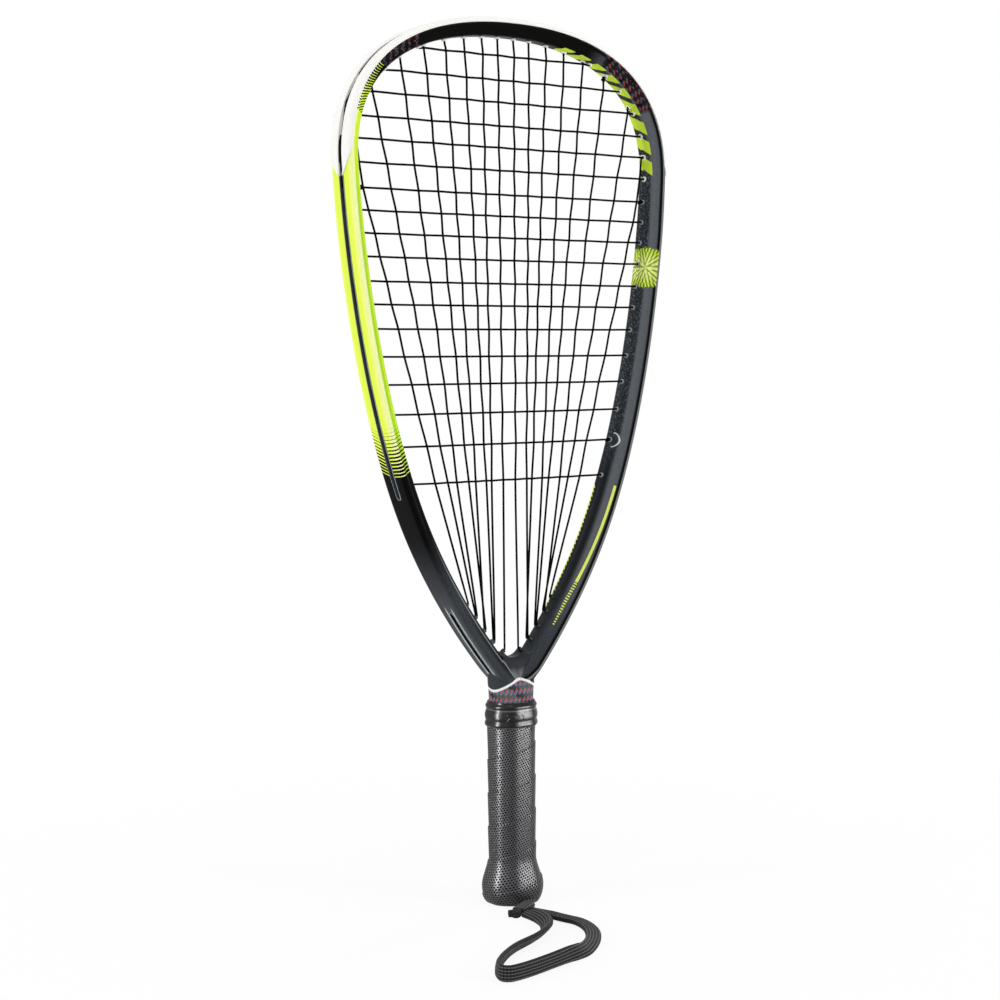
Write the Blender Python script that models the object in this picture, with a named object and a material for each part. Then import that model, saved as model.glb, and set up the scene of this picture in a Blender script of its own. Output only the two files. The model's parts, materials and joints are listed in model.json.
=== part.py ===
"""A strung racquetball racket with its wrist cord, standing on its butt.

Frame of the model: metres, +Z from the butt to the tip of the head, X across
the string bed, front face towards -Y, origin on the flat bottom of the butt.
"""

import math

import bpy
import bmesh
from mathutils import Vector

for old in list(bpy.data.objects):
    bpy.data.objects.remove(old, do_unlink=True)

MM = 0.001

# Fits
CLEARANCE = 0.3 * MM            # gap left between pieces that touch

# Overall length, with the head guard
RACKET_LENGTH = 558.8 * MM      # 22 inches

# Head: centre line of the hoop, right half, measured down from its top
GUARD_CROWN = 1.3 * MM          # guard thickness over the tip
HOOP_THICKNESS_TOP = 10.0 * MM  # across the hoop in the string plane
HOOP_THICKNESS_THROAT = 11.5 * MM
HEAD_HALF_WIDTH = 116.5 * MM    # widest point of the centre line
HEAD_WIDEST_DROP = 82.4 * MM    # below the top of the centre line
HEAD_TOP_HANDLE = 63.4 * MM     # curve handles: length sets the fullness
HEAD_SIDE_HANDLE_UP = 60.7 * MM
HEAD_SIDE_HANDLE_DOWN = 7.8 * MM
SHOULDER_HALF_WIDTH = 71.9 * MM
SHOULDER_DROP = 302.5 * MM
SHOULDER_LEAN = math.radians(22.75)
SHOULDER_HANDLE_UP = 99.0 * MM
SHOULDER_HANDLE_DOWN = 60.8 * MM

# Throat, where the two limbs of the hoop meet
CROTCH_HEIGHT = 151.0 * MM
CROTCH_RADIUS = 5.0 * MM
THROAT_LEAN = math.radians(36.0)
THROAT_HANDLE = 3.5 * MM
WEB_HEIGHT = 158.4 * MM         # bottom of the rounded V that fills the crotch
WEB_RADIUS = 17.0 * MM
WEB_SPREAD = math.radians(54.0)  # half of the arc that the V's rounding takes
WEB_HALF_DEPTH = 7.2 * MM
WEB_EDGE = 3.2 * MM             # bevel along its front and rear edges
WEB_ROOT = 3.0 * MM             # how far it reaches into the limbs

# Hoop section: deeper at its outer face than at its inner face
HOOP_DEPTH_OUTER = 21.0 * MM
HOOP_DEPTH_INNER = 14.6 * MM
HOOP_CORNER_OUTER = 2.5 * MM
HOOP_CORNER_INNER = 3.5 * MM
HOOP_INNER_SWELL = 0.6 * MM      # the inner corners start this much wider

# Groove round the outside of the hoop, and the strips that lie in it
GROOVE_DEPTH = 2.8 * MM
STRIP_WIDTH = 5.0 * MM
STRIP_FLOOR = 0.7 * MM          # thickness under the string channel
STRIP_PROUD = 0.1 * MM
CHANNEL_WIDTH = 4.0 * MM
SIDE_STRIP_HEIGHT_TOP = 457.0 * MM
SIDE_STRIP_HEIGHT_BOTTOM = 264.0 * MM
THROAT_STRIP_HEIGHT_TOP = 193.5 * MM
THROAT_STRIP_HEIGHT_BOTTOM = 148.0 * MM

# Head guard
GUARD_SHOULDER = 1.0 * MM       # thickness over the outer corners
GUARD_EDGE = 0.6 * MM           # thickness of its thin front and rear edges
GUARD_WRAP_TOP = 2.7 * MM       # how far it wraps over the face at the tip
GUARD_WRAP_SIDE = 4.6 * MM
GUARD_TAPER = 17.0 * MM         # length of its pointed tails

# Barrels that line the string holes
BARREL_ACROSS = 2.9 * MM
BORE_ACROSS = 1.9 * MM
BARREL_STAND_HEAD = 0.6 * MM    # how far a barrel stands inside the hoop
THROAT_STANDS = (5.2 * MM, 3.4 * MM, 2.5 * MM, 2.5 * MM, 2.5 * MM)

# Strings
STRING_DIAMETER = 1.25 * MM
LANE_OFFSET = 0.8 * MM          # mains run front of the mid plane, crosses behind
WEAVE_OFFSET = 0.85 * MM
STRING_BEND = 0.8 * MM          # bend radius where a string turns into its channel
MOUTH_MARGIN = 0.6 * MM         # a string bends this far inside its barrel
EDGE_MARGIN = 5.0 * MM          # a crossing nearer a barrel than this isn't woven
MAIN_LEVEL_DROP = 152.5 * MM    # level where the main spacings are given
MAIN_OFFSETS = (5.5 * MM, 15.6 * MM, 24.4 * MM, 35.3 * MM, 45.9 * MM, 59.1 * MM,
                74.9 * MM, 91.6 * MM)
MAIN_LEANS = (0.004, 0.017, 0.049, 0.075, 0.112, 0.149, 0.215, 0.276)
CROSS_DROPS = (16.4 * MM, 31.4 * MM, 45.1 * MM, 59.6 * MM, 73.1 * MM, 87.2 * MM,
               102.2 * MM, 115.5 * MM, 129.0 * MM, 143.0 * MM, 157.6 * MM, 171.5 * MM,
               186.2 * MM, 203.0 * MM, 220.0 * MM, 238.2 * MM, 258.0 * MM, 281.0 * MM)
THROAT_HOLE_RISES = (5.4 * MM, 13.3 * MM, 21.5 * MM, 30.7 * MM, 39.0 * MM)  # over the crotch
GUARD_CROSSES = 6               # crosses whose holes are in the head guard
SHARED_CROSS = 5                # this cross shares its holes with the outer mains
MAIN_TIE_CROSS = 7              # the outer mains tie off on this cross
TOP_TIE_MAIN = 14               # the first cross ties off on this main
BOTTOM_TIE_CROSS = 17           # the last cross ties off on this one

# Tie-off knots
KNOT_LENGTH = 2.0 * MM
KNOT_START = 0.4 * MM           # distance from the barrel
KNOT_DIAMETER = 3.8 * MM

# Neck and shaft of the frame
NECK_HALF_WIDTH = 13.8 * MM
NECK_HALF_DEPTH = 11.0 * MM
NECK_SQUARENESS = 3.0
NECK_BOTTOM = 128.3 * MM
SHAFT_HALF_WIDTH = 11.0 * MM
SHAFT_HALF_DEPTH = 8.5 * MM
SHAFT_WALL = 1.8 * MM
SHAFT_BOTTOM = 20.0 * MM
SHAFT_HOLLOW_TOP = 132.0 * MM

# Handle: an eight-sided section with large bevels
PALLET_HALF_WIDTH = 13.0 * MM
PALLET_HALF_DEPTH = 11.4 * MM
PALLET_BEVEL = 6.2 * MM
PALLET_BOTTOM = 15.8 * MM
PALLET_TOP = 128.0 * MM
WRAP_THICKNESS = 1.6 * MM
WRAP_STEP = 0.55 * MM           # height of the edge that each turn leaves
WRAP_PITCH = 21.7 * MM
WRAP_PHASE = 41.8 * MM          # height of a turn's edge at the right side's front corner
WRAP_BOTTOM = 0.8 * MM
WRAP_TOP = 116.3 * MM
TAPE_BOTTOM = 112.0 * MM
TAPE_TOP = 121.0 * MM
TAPE_THICKNESS = 0.35 * MM
TAPE_SQUEEZE = 0.5 * MM         # the tape presses the wrap in by this much

# Flare of the butt
FLARE = 4.5 * MM
FLARE_TOP = 30.0 * MM
FLARE_FULL = 10.5 * MM
BUTT_ROUNDING_WIDTH = 4.5 * MM

# Butt cap
CAP_TOP = 22.0 * MM
CAP_WEB_BOTTOM = 13.0 * MM
CAP_WEB_TOP = 15.5 * MM
POCKET_HALF_WIDTH = 7.0 * MM
POCKET_HALF_DEPTH = 9.8 * MM
BAR_DIAMETER = 4.0 * MM
BAR_HEIGHT = 7.6 * MM
NOTCH_WIDTH = 10.4 * MM
NOTCH_HEIGHT = 6.4 * MM
STAPLE_HEIGHT = 19.0 * MM
STAPLE_SPAN = 9.0 * MM
STAPLE_WIRE = 0.9 * MM
STAPLE_LEG = 3.4 * MM
STAPLE_SINK = 0.4 * MM          # its crown lies below the surface

# Collar
COLLAR_BOTTOM = 110.9 * MM
COLLAR_TOP = 129.0 * MM
COLLAR_STEP = 121.6 * MM        # its bore narrows here, above the tape

# Wrist cord: a flat cord that stands on its edge on the floor
CORD_WIDTH = 9.5 * MM
CORD_THICKNESS = 4.0 * MM
CORD_LIFT = 0.2 * MM
CORD_POINT_SPACING = 12.5 * MM
CORD_ROUTE = (
    (-15.4, -38.9), (-14.8, -44.5), (-16.4, -53.5), (-20.2, -63.0), (-27.5, -72.5),
    (-38.0, -80.5), (-52.5, -87.6), (-66.5, -94.3), (-80.0, -103.6), (-91.5, -114.5),
    (-98.2, -123.0), (-99.6, -129.6), (-95.6, -133.6), (-87.0, -133.2), (-73.5, -130.4),
    (-58.0, -126.6), (-43.5, -122.4), (-30.0, -115.6), (-16.0, -103.5), (-5.2, -89.0),
    (-0.2, -75.0), (-0.4, -62.5), (-2.6, -51.5), (-4.6, -43.0), (-7.2, -36.4),
    (-10.9, -33.6))
CORD_KNOT_CENTRE = (-18.4, -32.0, 4.7)
CORD_KNOT_RADII = (6.6, 6.2, 4.5)
TAIL_WIDTH = 8.0 * MM
TAIL_THICKNESS = 2.2 * MM
TAIL_LAYER_LOW = 1.8 * MM
TAIL_LAYER_HIGH = 4.7 * MM

# Heights that follow from the sizes above
HEAD_TOP = RACKET_LENGTH - GUARD_CROWN - HOOP_THICKNESS_TOP / 2
GROOVE_WIDTH = STRIP_WIDTH + 2 * CLEARANCE
BARREL_HOLE_ACROSS = BARREL_ACROSS + 2 * CLEARANCE
TAPE_BORE = 2 * CLEARANCE + WRAP_THICKNESS - TAPE_SQUEEZE   # from the pallets' size
CHANNEL_LOW = -GROOVE_DEPTH + CLEARANCE + STRIP_FLOOR   # channel floor, from the hoop
CORNER_TURN = math.radians(6.0)  # half of the angle that rounds a corner of the handle
BORE_SIDES = 4                  # as many as a string has
FLATNESS = 0.36 * MM            # most that a facet of the hoop cuts its curve
LONGEST_FACET = 40.0 * MM


def make_material(name, color, roughness, metallic=0.0):
    material = bpy.data.materials.new(name)
    material.use_nodes = True
    shader = material.node_tree.nodes["Principled BSDF"]
    shader.inputs["Base Color"].default_value = (*color, 1.0)
    shader.inputs["Roughness"].default_value = roughness
    shader.inputs["Metallic"].default_value = metallic
    return material


def add_object(name, mesh, material=None):
    obj = bpy.data.objects.new(name, mesh)
    bpy.context.scene.collection.objects.link(obj)
    if material:
        mesh.materials.append(material)
    return obj


def add_cutter(name, mesh):
    obj = add_object(name, mesh)
    obj.hide_render = True
    obj.display_type = 'WIRE'
    return obj


def add_boolean(target, other, operation):
    modifier = target.modifiers.new(operation.title(), 'BOOLEAN')
    modifier.object = other
    modifier.operation = operation


def shade(obj, angle=40.0):
    obj.data.shade_smooth()
    obj.data.set_sharp_from_angle(angle=math.radians(angle))


def skin(mesh_data, rings, closed=False):
    """Add a closed body that runs through rings of equally many points."""
    count = len(rings[0])
    verts = [[mesh_data.verts.new(point) for point in ring] for ring in rings]
    spans = len(rings) if closed else len(rings) - 1
    faces = []
    for i in range(spans):
        low, high = verts[i], verts[(i + 1) % len(rings)]
        for j in range(count):
            k = (j + 1) % count
            faces.append(mesh_data.faces.new((low[j], low[k], high[k], high[j])))
    if not closed:
        faces.append(mesh_data.faces.new(list(reversed(verts[0]))))
        faces.append(mesh_data.faces.new(verts[-1]))
    return faces


def finish_mesh(name, mesh_data):
    bmesh.ops.recalc_face_normals(mesh_data, faces=mesh_data.faces)
    mesh = bpy.data.meshes.new(name)
    mesh_data.to_mesh(mesh)
    mesh_data.free()
    return mesh


def skin_mesh(name, rings, closed=False):
    mesh_data = bmesh.new()
    skin(mesh_data, rings, closed)
    return finish_mesh(name, mesh_data)


# Centre line of the hoop

def bezier(start, handle_a, handle_b, end, steps):
    points = []
    for i in range(steps):
        t = i / steps
        u = 1 - t
        points.append(start * u**3 + handle_a * 3 * u * u * t
                      + handle_b * 3 * u * t * t + end * t**3)
    return points


def trace_half_hoop():
    """Points (x, z) of the right half, from the top centre to the crotch."""
    top = Vector((0, HEAD_TOP))
    widest = Vector((HEAD_HALF_WIDTH, HEAD_TOP - HEAD_WIDEST_DROP))
    shoulder = Vector((SHOULDER_HALF_WIDTH, HEAD_TOP - SHOULDER_DROP))
    lean = Vector((math.sin(SHOULDER_LEAN), math.cos(SHOULDER_LEAN)))
    arc_radius = CROTCH_RADIUS + HOOP_THICKNESS_THROAT / 2
    arc_centre = Vector((0, CROTCH_HEIGHT + CROTCH_RADIUS))
    throat = arc_centre + arc_radius * Vector((math.cos(THROAT_LEAN), -math.sin(THROAT_LEAN)))
    throat_lean = Vector((math.sin(THROAT_LEAN), math.cos(THROAT_LEAN)))
    steps = 80
    points = bezier(top, top + Vector((HEAD_TOP_HANDLE, 0)),
                    widest + Vector((0, HEAD_SIDE_HANDLE_UP)), widest, steps)
    points += bezier(widest, widest - Vector((0, HEAD_SIDE_HANDLE_DOWN)),
                     shoulder + lean * SHOULDER_HANDLE_UP, shoulder, steps)
    points += bezier(shoulder, shoulder - lean * SHOULDER_HANDLE_DOWN,
                     throat + throat_lean * THROAT_HANDLE, throat, steps)
    for i in range(steps + 1):
        angle = -THROAT_LEAN - (math.pi / 2 - THROAT_LEAN) * i / steps
        points.append(arc_centre + arc_radius * Vector((math.cos(angle), math.sin(angle))))
    return points


TRACE = trace_half_hoop()
TRACE_LENGTHS = [0.0]
for before, after in zip(TRACE, TRACE[1:]):
    TRACE_LENGTHS.append(TRACE_LENGTHS[-1] + (after - before).length)
HALF_LENGTH = TRACE_LENGTHS[-1]


def trace_at(distance):
    """Point of the traced half at a distance from the top."""
    distance = min(max(distance, 0.0), HALF_LENGTH)
    low, high = 0, len(TRACE) - 2
    while low < high:
        middle = (low + high + 1) // 2
        if TRACE_LENGTHS[middle] <= distance:
            low = middle
        else:
            high = middle - 1
    span = TRACE_LENGTHS[low + 1] - TRACE_LENGTHS[low]
    t = (distance - TRACE_LENGTHS[low]) / span
    return TRACE[low].lerp(TRACE[low + 1], t)


def station(s):
    """Centre point, along direction and outward direction at arc length s.

    s runs from the top centre, positive down the right limb.
    """
    distance = abs(s)
    step = 0.5 * MM
    point = trace_at(distance)
    behind = trace_at(distance - step)
    front = trace_at(distance + step)
    along = (front - behind).normalized()
    if distance < step:
        along = Vector((1, 0))
    if distance > HALF_LENGTH - step:
        along = Vector((-1, 0))
    outward = Vector((-along.y, along.x))
    if s < 0:
        point = Vector((-point.x, point.y))
        along = Vector((along.x, -along.y))
        outward = Vector((-outward.x, outward.y))
    return point, along, outward


def thickness(s):
    """Thickness of the hoop in the string plane."""
    height = station(s)[0].y
    low, high = CROTCH_HEIGHT, HEAD_TOP - HEAD_WIDEST_DROP
    t = min(max((height - low) / (high - low), 0.0), 1.0)
    return HOOP_THICKNESS_THROAT + (HOOP_THICKNESS_TOP - HOOP_THICKNESS_THROAT) * t


def at(s, out, depth):
    """World point at arc length s, out from the centre line and depth along Y."""
    point, _, outward = station(s)
    flat = point + outward * out
    return Vector((flat.x, depth, flat.y))


def find_station(measure, low, high):
    """Arc length between low and high where measure(s) changes sign."""
    low_sign = measure(low) > 0
    for _ in range(50):
        middle = (low + high) / 2
        if (measure(middle) > 0) == low_sign:
            low = middle
        else:
            high = middle
    return (low + high) / 2


WIDEST_S = find_station(lambda s: station(s)[1].x, 0.0, HALF_LENGTH * 0.5)


def station_at_height(height):
    """Arc length on the right limb, below the widest point, at a height."""
    return find_station(lambda s: station(s)[0].y - height, WIDEST_S, HALF_LENGTH)


def spread(low, high, spacing):
    """Arc lengths from low to high, spaced evenly by about spacing."""
    count = max(1, round(abs(high - low) / spacing))
    return [low + (high - low) * i / count for i in range(count + 1)]


def hoop_places():
    """Arc lengths of the right half's facets, closer together where it bends more."""
    places = [0.0]
    while places[-1] < HALF_LENGTH:
        s = places[-1]
        probe = 3.0 * MM
        turn = station(s)[1].angle(station(min(s + probe, HALF_LENGTH))[1], 0.0) / probe
        step = math.sqrt(8 * FLATNESS / max(turn, 0.001))
        places.append(s + min(max(step, 2.4 * MM), LONGEST_FACET))
    scale = HALF_LENGTH / places[-1]
    return [s * scale for s in places]


HALF_PLACES = hoop_places()
PLACES = sorted({-s for s in HALF_PLACES} | set(HALF_PLACES))


def places_between(low, high):
    """low, high and the hoop's own facet places between them."""
    way = 1 if high > low else -1
    inner = [s for s in PLACES[::way] if way * (s - low) > 2.0 * MM and way * (high - s) > 2.0 * MM]
    return [low] + inner + [high]


# Sections of the hoop, as (outward, depth) points

ROUNDING_STEPS = (0.03, 0.12, 0.45, 1.0)    # shares of a groove's half width


def groove_half(s, grow=0.0):
    """Half width of the groove at arc length s, and None where there is none."""
    for low, high in GROOVES:
        inside = min(abs(s) - low, high - abs(s)) + grow
        if inside > 1e-6:
            radius = GROOVE_WIDTH / 2 + grow
            return math.sqrt(radius**2 - max(radius - inside, 0.0)**2)
    return None


def groove_places(end, way):
    """Places of the rings that round one end of a groove, the end first."""
    return [end] + [end - way * GROOVE_WIDTH / 2 * t for t in ROUNDING_STEPS]


def groove_mesh(name, side, low, high):
    """A body along the groove, slightly larger, to clear it of another body."""
    grow = 0.05 * MM
    ends = groove_places(low, -1)[1:] + groove_places(high, 1)[:0:-1]
    places = sorted(ends + places_between(low + GROOVE_WIDTH, high - GROOVE_WIDTH))
    rings = []
    for s in places:
        half = groove_half(s, grow)
        floor = thickness(s) / 2 - GROOVE_DEPTH - grow
        top = thickness(s) / 2 + 3.0 * MM
        rings.append([at(side * s, out, depth) for out, depth in
                      ((floor, -half), (floor, half), (top, half), (top, -half))])
    return skin_mesh(name, rings)


def hoop_section(s):
    half = thickness(s) / 2
    outer, inner = HOOP_DEPTH_OUTER / 2, HOOP_DEPTH_INNER / 2
    groove = groove_half(s)
    floor_half, rim_half = (groove, groove) if groove else (GROOVE_WIDTH / 10, GROOVE_WIDTH / 5)
    right = [(half - (GROOVE_DEPTH if groove else 0.0), floor_half),
             (half, rim_half),
             (half, outer - HOOP_CORNER_OUTER),
             (half - HOOP_CORNER_OUTER, outer),
             (-half + HOOP_CORNER_INNER, inner + HOOP_INNER_SWELL),
             (-half, inner - HOOP_CORNER_INNER)]
    return right + [(out, -depth) for out, depth in reversed(right)]


def guard_section(s):
    """Outline of the head guard, with its string channel."""
    half = thickness(s) / 2
    outer = HOOP_DEPTH_OUTER / 2
    corner = HOOP_CORNER_OUTER
    run = thickness(s) - HOOP_CORNER_OUTER - HOOP_CORNER_INNER
    slope = (outer - HOOP_DEPTH_INNER / 2 - HOOP_INNER_SWELL) / run
    turn = min(abs(s) / WIDEST_S, 1.0)
    wrap = GUARD_WRAP_TOP + (GUARD_WRAP_SIDE - GUARD_WRAP_TOP) * math.sin(turn * math.pi / 2)
    edge_depth = outer - (wrap - corner) * slope
    flat = outer - corner
    right = [(half + CHANNEL_LOW, CHANNEL_WIDTH / 2),
             (half + GUARD_CROWN, CHANNEL_WIDTH / 2),
             (half + GUARD_SHOULDER, flat),
             (half - corner, outer + GUARD_SHOULDER),
             (half - wrap, edge_depth + CLEARANCE + GUARD_EDGE),
             (half - wrap, edge_depth + CLEARANCE),
             (half - corner, outer + CLEARANCE),
             (half + CLEARANCE, flat),
             (half + CLEARANCE, STRIP_WIDTH / 2),
             (half - GROOVE_DEPTH + CLEARANCE, STRIP_WIDTH / 2)]
    return right + [(out, -depth) for out, depth in reversed(right)]


def sweep_mesh(name, stations, section, closed=False):
    rings = [[at(s, out, depth) for out, depth in section(s)] for s in stations]
    return skin_mesh(name, rings, closed)


def strip_rings(low, high, rounded_low):
    """Rings of a grommet strip: a U section that closes at its rounded ends."""
    radius, channel = STRIP_WIDTH / 2, CHANNEL_WIDTH / 2
    rim = radius - channel
    way = 1 if high > low else -1
    rounding = []
    for inside in (0.05, 0.35, rim / MM + 0.05, rim / MM + 0.2, rim / MM + 0.8):
        inside *= MM
        half = math.sqrt(radius**2 - (radius - inside)**2)
        depth = max(inside - rim, 0.0)
        open_half = math.sqrt(channel**2 - (channel - depth)**2)
        opened = inside > rim + 0.1 * MM
        rounding.append((inside, half, open_half if opened else half * 0.4, opened))
    places = [(s, radius, channel, True) for s in
              places_between(low + way * radius if rounded_low else low, high - way * radius)]
    if rounded_low:
        places = [(low + way * inside, *shape) for inside, *shape in rounding] + places
    places += [(high - way * inside, *shape) for inside, *shape in reversed(rounding)]
    rings = []
    for s, half, open_half, opened in places:
        surface = thickness(s) / 2
        top = surface + STRIP_PROUD
        bottom = surface - GROOVE_DEPTH + CLEARANCE
        floor = surface + CHANNEL_LOW if opened else top - 0.05 * MM
        right = [(floor, open_half), (top, open_half), (top, half), (bottom, half)]
        outline = right + [(out, -depth) for out, depth in reversed(right)]
        rings.append([at(s, out, depth) for out, depth in outline])
    return rings


def plug_outline(depth, across, stretch, sides):
    """Even-sided outline (along, depth), drawn out along Y by stretch."""
    radius = across / 2 / math.cos(math.pi / sides)
    points = []
    for i in range(sides):
        angle = math.pi * (2 * i + 1) / sides
        y = radius * math.sin(angle)
        points.append((radius * math.cos(angle), depth + y + math.copysign(stretch, y)))
    return points


def add_plug(mesh_data, hole, across, out_low, out_high, sides):
    """Add a plug along a hole's axis to a mesh."""
    s, lane, double = hole
    point, along, outward = station(s)
    outline = plug_outline(0.0 if double else lane, across, LANE_OFFSET if double else 0.0, sides)
    rings = []
    for out in (out_low, out_high):
        ring = []
        for shift, depth in outline:
            flat = point + outward * out + along * shift
            ring.append((flat.x, depth, flat.y))
        rings.append(ring)
    skin(mesh_data, rings)


def plugs_mesh(name, holes, across, lows, highs, sides=6):
    """Plugs for many holes, each from its own low to its own high outward place."""
    mesh_data = bmesh.new()
    for hole, low, high in zip(holes, lows, highs):
        add_plug(mesh_data, hole, across, low, high, sides)
    return finish_mesh(name, mesh_data)


# String holes: (arc length, lane, double), lane +1 for mains and -1 for crosses

MAIN_LANE, CROSS_LANE = LANE_OFFSET, -LANE_OFFSET
CROSS_HEIGHTS = [HEAD_TOP - drop for drop in CROSS_DROPS]
MAIN_LEVEL = HEAD_TOP - MAIN_LEVEL_DROP
MAIN_COUNT = 2 * len(MAIN_OFFSETS)
CROSS_COUNT = len(CROSS_DROPS)


def mouth_out(s, stand):
    """Outward place of a barrel's inner mouth."""
    return -thickness(s) / 2 - stand


def mouth(s):
    """Inner mouth (x, z) of a barrel of the head."""
    point, _, outward = station(s)
    return point + outward * mouth_out(s, BARREL_STAND_HEAD)


def main_x(number, height):
    """Place across the bed of a main, numbered from 1 at the left."""
    side = 1 if number > len(MAIN_OFFSETS) else -1
    rank = number - len(MAIN_OFFSETS) - 1 if side > 0 else len(MAIN_OFFSETS) - number
    return side * (MAIN_OFFSETS[rank] + MAIN_LEANS[rank] * (height - MAIN_LEVEL))


def cross_station(number):
    """Arc length, right side, of a cross's hole."""
    height = CROSS_HEIGHTS[number - 1]
    return find_station(lambda s: mouth(s).y - height, 0.0, HALF_LENGTH * 0.9)


def main_top_station(number):
    """Arc length of a main's hole in the head."""
    if number in (1, MAIN_COUNT):
        side = 1 if number > 1 else -1
        return side * cross_station(SHARED_CROSS)
    side = 1 if number > len(MAIN_OFFSETS) else -1
    right_twin = number if side > 0 else MAIN_COUNT + 1 - number
    s = find_station(lambda s: mouth(s).x - main_x(right_twin, mouth(s).y), 0.0, WIDEST_S)
    return side * s


def throat_station(rank):
    """Arc length, right side, of a throat hole, rank 0 nearest the crotch."""
    return station_at_height(CROTCH_HEIGHT + THROAT_HOLE_RISES[rank])


# The mains share throat holes in pairs: 8 | 7 6 | 5 4 | 3 2 | 1, and their mirror
THROAT_RANKS = (4, 3, 3, 2, 2, 1, 1, 0)


def left_twin(number):
    return min(number, MAIN_COUNT + 1 - number)


def main_bottom_station(number):
    side = -1 if number <= len(MAIN_OFFSETS) else 1
    return side * throat_station(THROAT_RANKS[left_twin(number) - 1])


def main_bottom_stand(number):
    return THROAT_STANDS[THROAT_RANKS[left_twin(number) - 1]]


def throat_lane(number):
    """Linked pairs of mains take turns between the two lanes of a throat hole."""
    return MAIN_LANE if ((left_twin(number) - 1) // 2) % 2 == 0 else CROSS_LANE


CROSS_STATIONS = [cross_station(number) for number in range(1, CROSS_COUNT + 1)]
MAIN_TOPS = [main_top_station(number) for number in range(1, MAIN_COUNT + 1)]
MAIN_BOTTOMS = [main_bottom_station(number) for number in range(1, MAIN_COUNT + 1)]


def cross_holes(side, first, last):
    holes = []
    for number in range(first, last + 1):
        tied = number == MAIN_TIE_CROSS or (side > 0 and number == BOTTOM_TIE_CROSS)
        double = number == SHARED_CROSS or tied
        holes.append((side * CROSS_STATIONS[number - 1], CROSS_LANE, double))
    return holes


GUARD_HOLES = [(MAIN_TOPS[number - 1], MAIN_LANE, number == TOP_TIE_MAIN)
               for number in range(2, MAIN_COUNT)]
for hoop_side in (-1, 1):
    GUARD_HOLES += cross_holes(hoop_side, 1, GUARD_CROSSES)
SIDE_HOLES = {side: cross_holes(side, GUARD_CROSSES + 1, CROSS_COUNT) for side in (-1, 1)}
THROAT_HOLES = {}
for hoop_side in (-1, 1):
    ranks = range(len(THROAT_HOLE_RISES))
    THROAT_HOLES[hoop_side] = []
    for hole_rank in ranks:
        shared = 0 < hole_rank < len(THROAT_HOLE_RISES) - 1
        edge_main = 8 if hole_rank == 0 else 1
        THROAT_HOLES[hoop_side].append(
            (hoop_side * throat_station(hole_rank), throat_lane(edge_main), shared))
HEAD_HOLES = GUARD_HOLES + sum(SIDE_HOLES.values(), [])
ALL_HOLES = HEAD_HOLES + sum(THROAT_HOLES.values(), [])
ALL_STANDS = [BARREL_STAND_HEAD] * len(HEAD_HOLES) + list(THROAT_STANDS) * 2

GUARD_END = station_at_height(SIDE_STRIP_HEIGHT_TOP)
SIDE_STRIP_END = station_at_height(SIDE_STRIP_HEIGHT_BOTTOM)
THROAT_STRIP_START = station_at_height(THROAT_STRIP_HEIGHT_TOP)
THROAT_STRIP_END = station_at_height(THROAT_STRIP_HEIGHT_BOTTOM)


GROOVES = ((-SIDE_STRIP_END, SIDE_STRIP_END + CLEARANCE),
           (THROAT_STRIP_START - CLEARANCE, THROAT_STRIP_END + CLEARANCE))


# Sections of the handle, as polar outlines

def handle_angles():
    """Angles of the facets' edges: two at each of the eight corners, one between."""
    near_side = math.atan2(PALLET_HALF_DEPTH - PALLET_BEVEL, PALLET_HALF_WIDTH)
    near_face = math.atan2(PALLET_HALF_DEPTH, PALLET_HALF_WIDTH - PALLET_BEVEL)
    quarter = [near_side - CORNER_TURN, near_side + CORNER_TURN, (near_side + near_face) / 2,
               near_face - CORNER_TURN, near_face + CORNER_TURN]
    right = quarter + [math.pi - angle for angle in reversed(quarter)]
    return right + [angle + math.pi for angle in right]


ANGLES = handle_angles()


def polar_ring(z, radius):
    reaches = [radius(angle) for angle in ANGLES]
    return [(reach * math.cos(angle), reach * math.sin(angle), z)
            for reach, angle in zip(reaches, ANGLES)]


def squircle(half_width, half_depth, power):
    def radius(angle):
        total = (abs(math.cos(angle)) / half_width) ** power
        total += (abs(math.sin(angle)) / half_depth) ** power
        return total ** (-1 / power)
    return radius


def octagon(offset, sharpness=24):
    """Handle outline, grown outwards by offset from the pallets' own size."""
    half_width = PALLET_HALF_WIDTH + offset
    half_depth = PALLET_HALF_DEPTH + offset
    corner = PALLET_HALF_WIDTH + PALLET_HALF_DEPTH - PALLET_BEVEL
    diagonal = corner * math.sqrt(0.5) + offset

    def radius(angle):
        total = 0.0
        for i in range(8):
            reach = (half_width, diagonal, half_depth, diagonal)[i % 4]
            facing = math.cos(angle - i * math.pi / 4)
            if facing > 0:
                total += (facing / reach) ** sharpness
        return total ** (-1 / sharpness)
    return radius


def flare(z):
    """How much the handle swells towards the butt, and rounds off under it."""
    t = min(max((FLARE_TOP - z) / (FLARE_TOP - FLARE_FULL), 0.0), 1.0)
    swell = FLARE * t * t * (3 - 2 * t)
    if z < FLARE_FULL:
        u = (FLARE_FULL - z) / FLARE_FULL
        swell -= BUTT_ROUNDING_WIDTH * (1 - math.sqrt(max(1 - u * u, 0.0)))
    return swell


def tower(name, levels):
    return skin_mesh(name, [polar_ring(z, radius) for z, radius in levels])


def rings_to_tube(rings):
    """Turn stacked rings of a hollow piece into meridians that close on themselves."""
    return [list(meridian) for meridian in zip(*rings)]


def box_mesh(name, low, high):
    (x0, y0, z0), (x1, y1, z1) = low, high
    rings = [[(x0, y0, z), (x1, y0, z), (x1, y1, z), (x0, y1, z)] for z in (z0, z1)]
    return skin_mesh(name, rings)


# Frame: one hoop with its crotch, a neck and a hollow shaft

def shaft_outline(inset):
    return squircle(SHAFT_HALF_WIDTH - inset, SHAFT_HALF_DEPTH - inset, NECK_SQUARENESS)


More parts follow.
